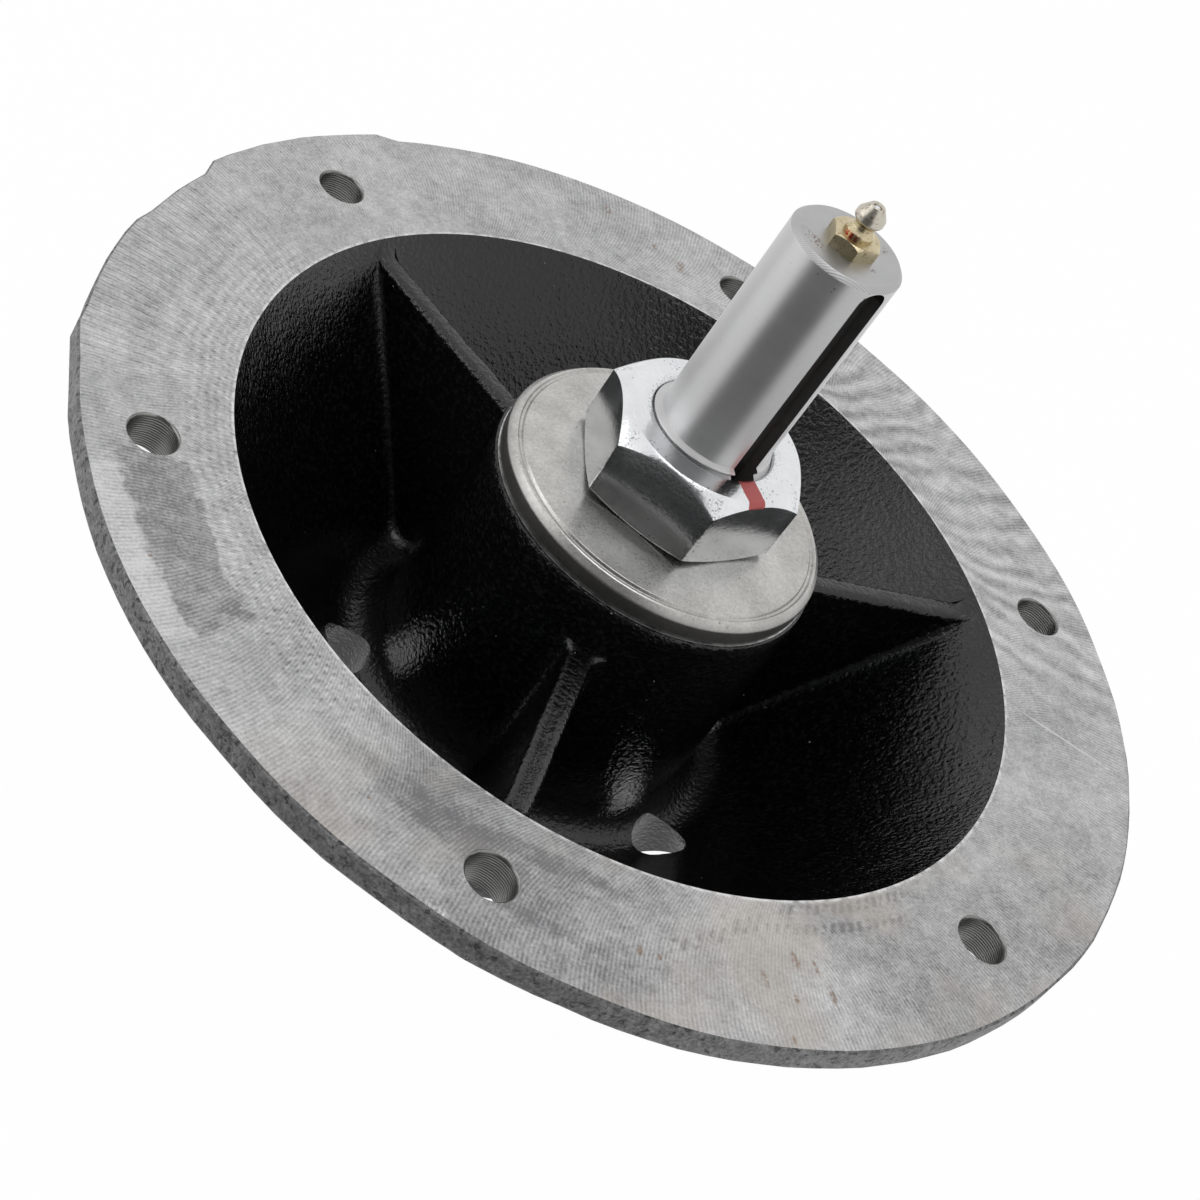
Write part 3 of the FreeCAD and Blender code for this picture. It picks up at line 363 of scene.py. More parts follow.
class Finish:
    """A node material under one Principled shader."""

    def __init__(self, name, **uniform):
        self.material = bpy.data.materials.new(name)
        self.material.use_nodes = True
        self.tree = self.material.node_tree
        self.shader = self.tree.nodes["Principled BSDF"]
        self.set(**uniform)

    def node(self, kind, settings=None, **sockets):
        """A node of that type: its settings first, then the values or wires of its sockets."""
        node = self.tree.nodes.new(kind)
        for name, setting in (settings or {}).items():
            setattr(node, name, setting)
        for name, item in sockets.items():
            name = name.replace("_", " ")
            feed(next(socket for socket in node.inputs if socket.name == name and socket.enabled), item)
        return node

    def place(self):
        """The point on the surface in the part's own frame, as X, Y and Z in millimetres."""
        if not hasattr(self, "spot"):
            spot = self.node("ShaderNodeTexCoord").outputs["Object"]
            parts = self.node("ShaderNodeSeparateXYZ", Vector=spot)
            self.spot = spot
            self.axes = [Wire(self.tree, parts.outputs[letter]) * (1 / MM) for letter in "XYZ"]
        return self.axes

    def radius(self):
        """Distance from the part's axis in millimetres."""
        across, along, _ = self.place()
        return (across * across + along * along) ** 0.5

    def turn(self):
        """Angle round the part's axis in radians, from minus pi to pi."""
        across, along, _ = self.place()
        return along.calc("ARCTAN2", along, across)

    def mark(self, spot, length, width, heading):
        """1 inside a soft oval mark that lies at (x, y), its length along the heading in degrees."""
        across, along, _ = self.place()
        ahead, aside = math.cos(math.radians(heading)), math.sin(math.radians(heading))
        forward = ((across - spot[0]) * ahead + (along - spot[1]) * aside) / length
        sideways = ((along - spot[1]) * ahead - (across - spot[0]) * aside) / width
        return 1.0 - (forward * forward + sideways * sideways).ramp(0.1, 1.0)

    def noise(self, scale, detail=3.0, rough=0.5, stretch=None, seed=0.0):
        """Noise whose grains are about scale millimetres, centred on one half."""
        self.place()
        spot = self.spot
        if stretch or seed:
            spot = self.node("ShaderNodeMapping", Vector=spot, Scale=stretch or (1, 1, 1),
                             Location=(seed, seed * 0.7, -seed)).outputs["Vector"]
        grain = self.node("ShaderNodeTexNoise", {"noise_dimensions": "3D"}, Vector=spot,
                          Scale=1 / (scale * MM), Detail=detail, Roughness=rough)
        return Wire(self.tree, grain.outputs["Fac"])

    def specks(self, scale, size, seed=0.0):
        """1 inside small scattered dots, scale millimetres apart and size across."""
        self.place()
        moved = self.node("ShaderNodeMapping", Vector=self.spot, Location=(seed, -seed, seed * 0.3))
        cells = self.node("ShaderNodeTexVoronoi", {"feature": "F1"}, Vector=moved.outputs["Vector"],
                          Scale=1 / (scale * MM))
        return Wire(self.tree, cells.outputs["Distance"]).below(size / scale / 2)

    def mix(self, factor, first, second):
        """A colour between two colours."""
        node = self.node("ShaderNodeMix", {"data_type": "RGBA"}, Factor=factor, A=first, B=second)
        return next(socket for socket in node.outputs if socket.enabled)

    def bump(self, height, depth):
        """A normal tilted by a height that goes from 0 to 1 over depth millimetres."""
        return self.node("ShaderNodeBump", Height=height, Distance=depth * MM, Strength=1.0).outputs["Normal"]

    def set(self, **sockets):
        """Links or sets the shader's own sockets."""
        for name, item in sockets.items():
            feed(self.shader.inputs[name.replace("_", " ")], item)
        return self.material


# ---- finishes ----
# A face mill of this radius went round the deck face on this circle and left this many marks
MILL_RADIUS = 54.0
MILL_PATH = 135.0
MILL_MARKS = 826
# Rust on the deck face: place, length and width
DECK_RUST = (
    ((22.0, 117.5), 2.2, 1.3), ((33.4, 107.1), 1.6, 1.0), ((39.4, 101.4), 3.4, 1.5),
    ((7.0, -108.1), 2.8, 1.1), ((-1.6, -113.4), 2.6, 1.0), ((11.4, -109.2), 2.6, 0.7),
    ((13.2, -115.2), 3.0, 1.0), ((4.5, -117.1), 1.5, 0.9), ((1.0, -126.2), 1.6, 0.8),
    ((-28.1, -110.0), 1.6, 0.9), ((-24.1, -111.0), 1.0, 0.7), ((-116.5, -33.3), 0.8, 0.6))
# The stripe of marking lacquer on the nut: where it starts, and its heading in degrees
STRIPE_START = (3.85, -14.55)
STRIPE_HEADING = -81.2


def mill_angles(finish):
    """The angles round the deck face at which the mill's leading and trailing edges cross a point."""
    reach, turn = finish.radius(), finish.turn()
    inside = (reach * reach + (MILL_PATH ** 2 - MILL_RADIUS ** 2)) / (reach * (2 * MILL_PATH))
    inside = inside.lesser(1.0)
    swing = inside.calc("ARCCOSINE", inside)
    return turn - swing, turn + swing


def chatter_rows(finish, reach, degrees, after):
    """1 in three rows of short dashes that the mill left while it chattered."""
    rows = reach.near(101.4, 0.8, 0.7) * degrees.near(-81.0, 11.0, 3.0)
    rows = rows.greater(reach.near(97.0, 0.8, 0.6) * degrees.near(-76.0, 9.0, 3.0))
    slanted = (reach + (degrees + 95.0) * 0.9).near(105.0, 1.1, 0.9)
    rows = rows.greater(slanted * degrees.near(-95.0, 5.0, 2.0))
    dashes = (after * (MILL_MARKS / 3)).wave() * 0.5 + 0.5
    return rows * (dashes * finish.noise(2.2, 2, 0.5, seed=0.15).ramp(0.36, 0.5))


def deck_rust(finish):
    """1 where the deck face has rusted: scattered specks and the larger spots."""
    rust = finish.specks(8.5, 0.8) * finish.noise(30, 2, 0.5, seed=0.9).ramp(0.57, 0.62)
    for spot, length, width in DECK_RUST:
        heading = math.degrees(math.atan2(spot[1], spot[0]))
        rust = rust.greater(finish.mark(spot, length, width, heading))
    return rust * finish.noise(0.9, 3, 0.7, seed=0.21).ramp(0.38, 0.62)


def machined_iron():
    """Milled iron: pale grey, crossed by the mill's fine arcs, clouded, with chatter rows and rust."""
    finish = Finish("machined_iron", Metallic=0.82)
    reach, degrees = finish.radius(), finish.turn() * (180 / math.pi)
    # Fine arcs: some patches show those of the leading edge, others those of the trailing one
    before, after = mill_angles(finish)
    wander = (finish.noise(9, 3) - 0.5) * 7.0
    lead = (before * MILL_MARKS + wander).wave()
    trail = (after * MILL_MARKS - wander).wave()
    patch = finish.noise(26, 2, 0.5, seed=0.31).ramp(0.42, 0.58)
    lead_side = degrees.near(-142.5, 9.5, 2.0).greater(degrees.near(-69.0, 12.0, 4.0))
    trail_side = degrees.near(-107.0, 21.0, 4.0).greater(degrees.near(74.0, 9.0, 5.0))
    lead_share = (patch * (1.0 - trail_side) + lead_side).held()
    trail_share = ((1.0 - patch) * (1.0 - lead_side) + trail_side).held()
    torn = finish.noise(1.7, 3, 0.65, seed=0.4).ramp(0.30, 0.66)
    marks = (lead * lead_share + trail * trail_share) * (torn * 1.1 + 0.25)
    # Coarse scales in the west, where both cross, and a broad ripple in the east
    ragged = (finish.noise(5.0, 3, 0.6, seed=0.77) - 0.5) * 9.0
    in_west_band = abs(degrees).ramp(136.0, 144.0) * (reach + ragged).below(106.5)
    west = in_west_band.greater(abs(degrees).ramp(131.0, 140.0) * degrees.above(0.0) * degrees.below(171.0))
    coarse_lead = (before * (MILL_MARKS / 3) + wander * 0.7).wave()
    coarse_trail = (after * (MILL_MARKS / 3) - wander * 0.7).wave()
    scales = (coarse_lead * coarse_trail + coarse_trail * 0.5) * west * (torn * 0.8 + 0.35)
    ripple = (after * (MILL_MARKS / 9) + (finish.noise(22, 2, 0.5, seed=0.5) - 0.5) * 14.0).wave()
    ripple = ripple * degrees.near(22.0, 28.0, 14.0) * finish.noise(9, 2, 0.5, seed=0.8).ramp(0.3, 0.6)
    # Clouds, stains and pale stretches
    cloud = finish.noise(30, 4, 0.6)
    mottled = finish.noise(3.2, 5, 0.75, seed=0.12)
    fine = finish.noise(0.7, 2, 0.6)
    west_dark = (reach + ragged).near(113.5, 6.5, 1.6) * (degrees + ragged * 0.7).near(-166.0, 10.5, 1.5)
    west_pale = (reach + ragged * 0.4).ramp(120.5, 122.0) * degrees.near(-165.0, 9.0, 2.0)
    south_dark = finish.mark((-68.0, -84.0), 27.0, 5.5, -42.0)
    streaks = finish.mark((-47.0, -107.0), 22.0, 2.0, -24.0) * 0.7
    streaks = finish.mark((-42.0, -93.0), 26.0, 3.0, -20.0).greater(streaks)
    level = 0.54 + marks * 0.13 + scales * 0.19 + ripple * 0.26 + (cloud - 0.5) + (mottled - 0.5) * 1.25
    level = level + (fine - 0.5) * 0.85 - west_dark * 0.34 + west_pale * 0.24 - south_dark * 0.30
    level = level - chatter_rows(finish, reach, degrees, after) * 0.40 - streaks * 0.26
    # The face is darker over two bands of angles round it: painted shade where it catches less light
    level = level - degrees.near(-118.0, 9.0, 16.0) * 0.22
    level = level - degrees.near(-60.0, 14.0, 14.0) * 0.13
    tone = finish.mix(level.held(), (0.20, 0.20, 0.205, 1), (0.66, 0.66, 0.66, 1))
    warm = finish.noise(24, 2, 0.5, seed=0.64).ramp(0.42, 0.62) * finish.place()[1].ramp(-60.0, -105.0)
    tone = finish.mix(warm * 0.45, tone, (0.50, 0.445, 0.39, 1))
    scratch = finish.mark((103.5, -38.5), 16.0, 0.5, -33.0)
    tone = finish.mix(scratch * 0.6, tone, (0.72, 0.72, 0.72, 1))
    rust = deck_rust(finish)
    tone = finish.mix(rust * 0.6, tone, (0.23, 0.13, 0.065, 1))
    # A patchy near-white line on the face just outside the mouth's edge: a painted highlight along the edge
    painted_edge_highlight = (1.0 - (reach - MOUTH).ramp(0.2, 0.9)) * finish.noise(2.5, 2, 0.6, seed=0.27).ramp(0.35, 0.6)
    tone = finish.mix(painted_edge_highlight * 0.6, tone, (0.9, 0.9, 0.9, 1))
    rough = (0.41 + (cloud - 0.5) * 0.2 - marks * 0.04 + rust * 0.2).held()
    normal = finish.bump(marks * 0.2 + scales * 0.5 + ripple * 0.3 + fine * 0.25 + mottled * 0.5, 0.06)
    return finish.set(Base_Color=tone, Roughness=rough, Normal=normal)


def cast_paint():
    """Gloss black paint over a sand-cast surface, with dust specks."""
    finish = Finish("cast_paint", Metallic=0.0)
    grain = finish.noise(1.15, 2, 0.5)
    pits = finish.noise(0.55, 2, 0.5, seed=0.3)
    swell = finish.noise(5.0, 2, 0.5, seed=0.6)
    dust = finish.specks(6.0, 0.42, seed=0.05) * finish.noise(24, 2, 0.5, seed=0.5).ramp(0.50, 0.56)
    # The paint's colour follows the grain that also bumps it: a painted highlight on the lumps and painted
    # shade in the hollows between them
    tone = finish.mix(grain.ramp(0.50, 0.66), (0.0015, 0.0015, 0.002, 1), (0.010, 0.010, 0.0115, 1))
    tone = finish.mix(dust * 0.85, tone, (0.42, 0.40, 0.36, 1))
    rough = (0.15 + (pits - 0.5) * 0.12 + dust * 0.4).held()
    normal = finish.bump(grain * 0.75 + pits * 0.2 + swell * 0.25, 0.40)
    return finish.set(Base_Color=tone, Roughness=rough, Normal=normal)


def cast_skin():
    """Bare cast iron on the flange's edge: dark grey, rough and pitted."""
    finish = Finish("cast_skin", Metallic=0.45)
    grain = finish.noise(0.8, 3, 0.65)
    lumps = finish.noise(2.6, 3, 0.6, seed=0.2)
    pits = finish.noise(1.5, 2, 0.5, seed=0.43).ramp(0.58, 0.68)
    level = (grain * 1.5 + lumps * 1.1 - 0.8).held()
    tone = finish.mix(level, (0.04, 0.041, 0.043, 1), (0.36, 0.36, 0.362, 1))
    # The pits are painted nearly black: painted shade inside the pits, which the bump also sinks
    tone = finish.mix(pits * 0.7, tone, (0.02, 0.02, 0.02, 1))
    normal = finish.bump(grain * 0.5 + lumps * 0.6 - pits * 0.4, 0.55)
    return finish.set(Base_Color=tone, Roughness=0.5, Normal=normal)


def drilled_iron():
    """The walls of drilled holes, with rings left by the drill; brighter in the bowl's drains, a painted
    reflection of the white floor below them.
    """
    finish = Finish("drilled_iron", Metallic=0.88)
    _, _, up = finish.place()
    rings = (up * (2 * math.pi / 0.62) + finish.noise(3.5, 2) * 7.0).wave() * 0.5 + 0.5
    coarse = finish.noise(1.4, 3, 0.6, stretch=(0.3, 0.3, 1.0), seed=0.2)
    tone = finish.mix((rings * 0.5 + coarse * 0.5).held(), (0.05, 0.05, 0.048, 1), (0.36, 0.36, 0.35, 1))
    # Drain walls painted towards near-white: a painted reflection of the white floor seen through the drains
    tone = finish.mix(finish.radius().below(MOUTH) * (0.25 + rings * 0.35), tone, (0.95, 0.95, 0.94, 1))
    return finish.set(Base_Color=tone, Roughness=0.36, Normal=finish.bump(rings * 0.6 + coarse * 0.4, 0.12))


def turned_steel(name, base, rough, depth, stained=False):
    """Turned or ground steel with faint rings round the axis, which draw its reflections out along it."""
    finish = Finish(name, Metallic=1.0, Anisotropic=0.92, Anisotropic_Rotation=0.25)
    _, _, up = finish.place()
    wander = finish.noise(6, 3)
    rings = finish.noise(0.35, 2, 0.6, stretch=(0.02, 0.02, 1.0))
    fine = finish.noise(0.5, 2, 0.5, seed=0.4)
    low = [part * 0.82 for part in base[:3]] + [1]
    tone = finish.mix((rings * 0.4 + wander * 0.4 + fine * 0.2).held(), low, base)
    if stained:
        worn = finish.noise(11, 2, 0.5, seed=0.7).ramp(0.50, 0.58) * up.ramp(79.0, 86.0)
        stray = finish.noise(9, 2, 0.5, seed=0.2).ramp(0.6, 0.64)
        rust = finish.specks(1.7, 0.55) * (worn + 0.12 * stray).held()
        tone = finish.mix(rust * 0.8, tone, (0.17, 0.075, 0.035, 1))
        smear = (finish.turn() * (180 / math.pi)).near(-88.0, 2.4, 4.0) * up.near(37.5, 1.0, 6.0)
        tone = finish.mix(smear * 0.34, tone, (0.50, 0.07, 0.05, 1))
    shade = (rough + (wander - 0.5) * 0.10 + (rings - 0.5) * 0.08).held()
    return finish.set(Base_Color=tone, Roughness=shade, Normal=finish.bump(rings * 0.6 + fine * 0.4, depth))


def faced_end():
    """The shaft's end face: fine straight marks, and rust beside the fitting and near the edge."""
    finish = Finish("faced_end", Metallic=1.0)
    across, along, _ = finish.place()
    lines = (across * 0.35 + along * 0.94) * (2 * math.pi / 0.42) + finish.noise(3, 2) * 3.0
    lines = lines.wave() * 0.5 + 0.5
    cloud = finish.noise(5, 3, 0.6)
    tone = finish.mix((lines * 0.5 + cloud * 0.5).held(), (0.33, 0.33, 0.335, 1), (0.56, 0.56, 0.56, 1))
    rust = finish.mark((-9.0, -1.0), 4.2, 2.0, -65.0).greater(finish.mark((9.1, 1.5), 1.6, 0.8, 60.0))
    rust = rust.greater(finish.mark((3.1, -6.5), 1.6, 0.8, 10.0))
    rust = rust * finish.noise(0.5, 3, 0.7).ramp(0.50, 0.60)
    tone = finish.mix(rust * 0.85, tone, (0.13, 0.055, 0.03, 1))
    rough = (0.36 + cloud * 0.1).held()
    return finish.set(Base_Color=tone, Roughness=rough, Normal=finish.bump(lines, 0.012))


def milled_slot():
    """Dark floor and walls of the keyway."""
    finish = Finish("milled_slot", Metallic=0.7)
    cloud = finish.noise(2.4, 4, 0.65)
    tone = finish.mix(cloud, (0.028, 0.027, 0.026, 1), (0.085, 0.08, 0.075, 1))
    rust = finish.noise(1.2, 3, 0.6, seed=0.3).ramp(0.62, 0.68)
    tone = finish.mix(rust * 0.6, tone, (0.10, 0.04, 0.02, 1))
    rough = (0.42 + cloud * 0.2).held()
    return finish.set(Base_Color=tone, Roughness=rough, Normal=finish.bump(cloud, 0.03))


def zinc_plate():
    """Bright zinc on the nut, scuffed at its edges, with a stripe of red marking lacquer."""
    finish = Finish("zinc_plate", Metallic=1.0)
    across, along, up = finish.place()
    cloud = finish.noise(7, 4, 0.6)
    scuff = finish.noise(1.0, 3, 0.65, seed=0.15)
    scratches = finish.noise(0.8, 2, 0.5, stretch=(1.0, 0.08, 0.25), seed=0.6).ramp(0.66, 0.72)
    sixth = finish.turn() * (3 / math.pi) + (6.0 - NUT_ANGLE * 3 / math.pi)
    corner = abs(sixth.calc("FRACT", sixth) - 0.5).ramp(0.40, 0.5) * finish.radius().ramp(20.0, 22.5)
    bore = 1.0 - finish.radius().ramp(THREAD + 0.6, THREAD + 2.4)
    tone = finish.mix((cloud * 0.7 + scuff * 0.3).held(), (0.60, 0.62, 0.64, 1), (0.90, 0.915, 0.92, 1))
    pits = finish.specks(1.1, 0.42, seed=0.3) * finish.noise(5, 2, 0.5, seed=0.8).ramp(0.54, 0.60)
    worn = corner.greater(bore * 0.7) * finish.noise(0.55, 3, 0.7, seed=0.35).ramp(0.52, 0.60)
    tone = finish.mix(pits.greater(worn) * 0.7, tone, (0.10, 0.10, 0.10, 1))
    tone = finish.mix(scratches * 0.35, tone, (0.92, 0.93, 0.93, 1))
    heading = math.radians(STRIPE_HEADING)
    east, north = across - STRIPE_START[0], along - STRIPE_START[1]
    forward = east * math.cos(heading) + north * math.sin(heading)
    sideways = north * math.cos(heading) - east * math.sin(heading)
    ragged = (finish.noise(1.3, 3, 0.6, seed=0.6) - 0.5) * 0.7
    stripe = (sideways + ragged * 0.6).near(0.0, 2.15, 0.12) * forward.above(-2.5)
    stripe = stripe * up.above(NUT_TOP - 1.25)
    tone = finish.mix(stripe * 0.93, tone, (0.50, 0.055, 0.05, 1))
    rough = (0.17 + (cloud - 0.5) * 0.14 + (scuff - 0.5) * 0.16 + stripe * 0.22).held()
    metal = (1.0 - stripe * 0.75).held()
    normal = finish.bump(cloud * 0.4 + scuff * 0.6, 0.07)
    return finish.set(Base_Color=tone, Roughness=rough, Metallic=metal, Normal=normal)


def blasted_steel():
    """Satin steel of the cap: pale grey and finely speckled, with faint rust specks and a darker skirt."""
    finish = Finish("blasted_steel", Metallic=1.0)
    _, _, up = finish.place()
    fine = finish.noise(0.5, 2, 0.5)
    cloud = finish.noise(12, 3, 0.6)
    spots = finish.specks(2.2, 0.6, seed=0.2) * finish.noise(9, 2, 0.5, seed=0.35).ramp(0.56, 0.63)
    speckle = finish.noise(0.9, 3, 0.7, seed=0.55)
    level = (cloud * 1.3 + fine * 0.7 + speckle * 0.9 - 0.95).held()
    tone = finish.mix(level, (0.31, 0.305, 0.29, 1), (0.64, 0.63, 0.61, 1))
    tone = finish.mix(spots * 0.5, tone, (0.17, 0.10, 0.06, 1))
    skirt = up.ramp(CAP_TOP - CAP_DROP - 0.1, CAP_TOP - CAP_DROP - 1.6)
    tone = finish.mix(skirt * 0.5, tone, (0.24, 0.235, 0.22, 1))
    rough = (0.29 + (fine - 0.5) * 0.16 + (cloud - 0.5) * 0.1 + skirt * 0.13).held()
    normal = finish.bump(fine * 0.5 + speckle * 0.5, 0.035)
    return finish.set(Base_Color=tone, Roughness=rough, Normal=normal)


def yellow_zinc():
    """Yellow-passivated steel of the fitting, with traces of red lacquer and rust."""
    finish = Finish("yellow_zinc", Metallic=1.0)
    _, _, up = finish.place()
    cloud = finish.noise(2.2, 3, 0.6)
    fine = finish.noise(0.5, 2, 0.5, seed=0.1)
    gold = finish.mix(cloud, (0.42, 0.34, 0.19, 1), (0.72, 0.64, 0.45, 1))
    bright = up.ramp(SHAFT_TOP + 5.6, SHAFT_TOP + 6.6)
    tone = finish.mix(bright * 0.75, gold, (0.55, 0.53, 0.49, 1))
    stain = finish.noise(0.9, 3, 0.6, seed=0.45).ramp(0.58, 0.66)
    tone = finish.mix(stain * 0.6, tone, (0.16, 0.085, 0.04, 1))
    lacquer = finish.mark((-2.6, -1.6), 2.2, 0.9, -58.0) * up.near(SHAFT_TOP + 3.4, 0.5, 0.4)
    lacquer = lacquer * finish.noise(0.8, 2, 0.5, seed=0.9).ramp(0.40, 0.50)
    tone = finish.mix(lacquer * 0.85, tone, (0.36, 0.02, 0.02, 1))
    return finish.set(Base_Color=tone, Roughness=(0.22 + fine * 0.16).held(), Normal=finish.bump(fine, 0.02))


def seal_rubber():
    """Dark rubber bonded over the seals' cases."""
    finish = Finish("seal_rubber", Metallic=0.0)
    grain = finish.noise(0.6, 3, 0.6)
    tone = finish.mix(grain, (0.018, 0.012, 0.011, 1), (0.05, 0.032, 0.028, 1))
    return finish.set(Base_Color=tone, Roughness=(0.5 + grain * 0.2).held(), Normal=finish.bump(grain, 0.03))


machined = machined_iron()
painted = cast_paint()
bare_edge = cast_skin()
drilled = drilled_iron()
ground = turned_steel("ground_steel", (0.70, 0.70, 0.705, 1), 0.46, 0.003, stained=True)
faced = faced_end()
slotted = milled_slot()
zinc = zinc_plate()
blasted = blasted_steel()
yellow = yellow_zinc()
polished = turned_steel("bearing_steel", (0.72, 0.73, 0.75, 1), 0.22, 0.002)
pressed = turned_steel("pressed_steel", (0.50, 0.51, 0.52, 1), 0.40, 0.004)
plain_turned = turned_steel("plain_turned_steel", (0.60, 0.60, 0.60, 1), 0.42, 0.008)
rubber = seal_rubber()

NODE_FINISH = {
    "spindle_housing": painted, "spindle_shaft": ground, "jam_nut": zinc, "shield_cap": blasted,
    "grease_fitting_body": yellow, "grease_check_ball": polished, "grease_check_spring": pressed,
    "bearing_spacer": plain_turned,
}
for end in ("upper", "lower"):
    for part in ("outer_ring", "inner_ring", "rollers"):
        NODE_FINISH[f"{end}_bearing_{part}"] = polished
    NODE_FINISH[f"{end}_bearing_cage"] = pressed
    NODE_FINISH[f"{end}_grease_seal"] = rubber
for node, finish in NODE_FINISH.items():
    mesh = frame["nodes"][node].data
    mesh.materials.clear()
    mesh.materials.append(finish)


# ---- the casting ----
def bowl_line():
    """The bowl's inside line from the hub's top edge to the mouth, as (radius, height)."""
    hub_slope, wall_slope = math.tan(HUB_DRAFT), math.tan(WALL_ANGLE)
    corner_z = (HUB_RADIUS + HUB_TOP * hub_slope - MOUTH) / (wall_slope + hub_slope)
    corner_r = MOUTH + corner_z * wall_slope
    bend = soften([(HUB_RADIUS, HUB_TOP), (corner_r, corner_z, GROOVE_ROUND), (MOUTH, 0)], 12)
    foot, wall = bend[1], bend[-2]
    line = [Vector((HUB_RADIUS - 0.8, HUB_TOP)), Vector((HUB_RADIUS - 0.25, HUB_TOP - 0.2)),
            Vector((HUB_RADIUS, HUB_TOP - 0.8))]
    heights = [5.0, 0.0, -2.0, -2.6, -3.2, -3.9, -5.0, *range(-8, -41, -4)]
    line += [Vector((HUB_RADIUS + (HUB_TOP - height) * hub_slope, height)) for height in heights]
    line += [foot, *bend[2:-2], wall]
    steps = 26
    line += [wall.lerp(Vector((MOUTH, 0)), step / steps) for step in range(1, steps)]
    line += [Vector((MOUTH - 0.35, -0.35)), Vector((MOUTH, 0.0))]
    return line


def outside_line():
    """The rest of the casting's line: machined face, rim, sloping underside, lower hub and the bores."""
    tan_wall = math.tan(WALL_ANGLE)
    outer = MOUTH + WALL_THICKNESS / math.cos(WALL_ANGLE)
    neck_z = (HUB_RADIUS - HUB_BOTTOM * math.tan(HUB_DRAFT) - outer) / (tan_wall - math.tan(HUB_DRAFT))
    neck_r = outer + neck_z * tan_wall
    root = (FLANGE_THICKNESS + (FLANGE_RADIUS - outer) * FLANGE_SLOPE) / (1 - tan_wall * FLANGE_SLOPE)
    face = [Vector((MOUTH + (FLANGE_RADIUS - 0.5 - MOUTH) * step / 12, 0.0)) for step in range(1, 13)]
    rim = soften([(FLANGE_RADIUS - 0.5, 0), (FLANGE_RADIUS, -0.5), (FLANGE_RADIUS, -FLANGE_THICKNESS, 1.3),
                  (outer - root * tan_wall, -root, 6.0), (neck_r, neck_z, 6.0),
                  (HUB_RADIUS, HUB_BOTTOM + 0.8), (HUB_RADIUS - 0.8, HUB_BOTTOM)], 6)[1:]
    rim = divided(rim, 4.0)
    seat = [(SEAL_SEAT + 0.6, 0.0), (SEAL_SEAT, 0.6), (SEAL_SEAT, SEAT_DEPTH), (RING_SEAT, SEAT_DEPTH),
            (RING_SEAT, SHOULDER_DEPTH), (MIDDLE_BORE, SHOULDER_DEPTH)]
    bores = [(radius, HUB_BOTTOM + depth) for radius, depth in seat]
    bores += [(radius, HUB_TOP - depth) for radius, depth in reversed(seat)]
    return face + rim + [Vector(corner) for corner in bores]


def divided(line, longest):
    """The line with its long stretches divided evenly."""
    more = [line[0]]
    for first, last in zip(line, line[1:]):
        parts = max(1, math.ceil((last - first).length / longest))
        more += [first.lerp(last, part / parts) for part in range(1, parts + 1)]
    return more


def rib_lines():
    """Offsets of the grid lines across one half rib: (kind, share)."""
    lines = [("top", 0.0), ("top", 0.4)]
    lines += [("edge", step / 4) for step in range(5)]
    lines += [("foot", step / 5) for step in range(6)]
    return lines


def casting_point(kind, share, place, height, is_bowl):
    """One grid point of the casting: its offset across the rib and its height."""
    flare = 0.0
    hub = HUB_RADIUS + (HUB_TOP - height) * math.tan(HUB_DRAFT)
    near = place - hub
    if is_bowl and near < RIB_FOOT:
        flare = RIB_FOOT - math.sqrt(max(0.0, RIB_FOOT ** 2 - (RIB_FOOT - max(near, 0.0)) ** 2))
    top = RIB_HALF - RIB_ROUND
    turn = share * math.pi / 2
    if kind == "top":
        return (top + flare) * share, RIB_TOP
    if kind == "edge":
        return top + RIB_ROUND * math.sin(turn) + flare, RIB_TOP - RIB_ROUND * (1 - math.cos(turn))
    rise = max(0.0, RIB_TOP - height)
    foot = min(RIB_FOOT, rise * 0.6)
    side = RIB_HALF + rise * RIB_DRAFT + flare
    spread = RIB_FOOT * (1 - math.cos(turn)) * (foot / RIB_FOOT if foot else 1.0)
    return side + spread, height + foot * (1 - math.sin(turn))


def casting_grid(name):
    """The whole casting as one closed grid, warped so that its lines follow the ribs."""
    bowl = bowl_line()
    line = bowl + outside_line()
    half = rib_lines()
    between = 44
    built = bmesh.new()
    rings = []
    for index, (radius, height) in enumerate(line):
        is_bowl = index < len(bowl)
        ring = []
        for rib in range(3):
            middle = rib * 2 * math.pi / 3
            across = [casting_point(kind, share, radius, height, is_bowl) for kind, share in half]
            side = [(-offset, up) for offset, up in reversed(across[1:])] + across
            for offset, up in side:
                turn = middle + math.asin(max(-1.0, min(1.0, offset / radius)))
                ring.append((radius, turn, max(height, up) if is_bowl else height))
            last = math.asin(across[-1][0] / radius)
            span = 2 * math.pi / 3 - 2 * last
            for step in range(1, between):
                ring.append((radius, middle + last + span * step / between, height))
        rings.append([built.verts.new(around(*place)) for place in ring])
    count = len(rings[0])
    for upper, lower in zip(rings, rings[1:] + rings[:1]):
        for step in range(count):
            ahead = (step + 1) % count
            built.faces.new((upper[step], upper[ahead], lower[ahead], lower[step]))
    rim_shape(built)
    cast_lumps(built)
    return closed_piece(name, built)


def rim_shape(built):
    """Pushes the rim out where the casting has its gate mark and its swells, inside the CAD box."""
    for vertex in built.verts:
        reach = vertex.co.xy.length / MM
        if reach < FLANGE_RADIUS - 1.6 or vertex.co.z > 1e-6:
            continue
        turn = math.degrees(math.atan2(vertex.co.y, vertex.co.x)) % 360
        out = sum(most * window(turn, *span) for most, *span in RIM_SWELLS)
        out += 0.35 * noise.noise(Vector((vertex.co.x, vertex.co.y, 0)) * 45)
        share, limit = (reach + min(out, RIM_MOST)) / reach, FLANGE_RADIUS * MM
        vertex.co.x = max(-limit, min(vertex.co.x * share, limit))
        vertex.co.y = max(-limit, min(vertex.co.y * share, limit))


def window(turn, first, last, soft):
    """1 between two angles, falling to 0 over soft degrees outside them."""
    outside = max(first - turn, turn - last, 0.0)
    return max(0.0, 1.0 - outside / soft)


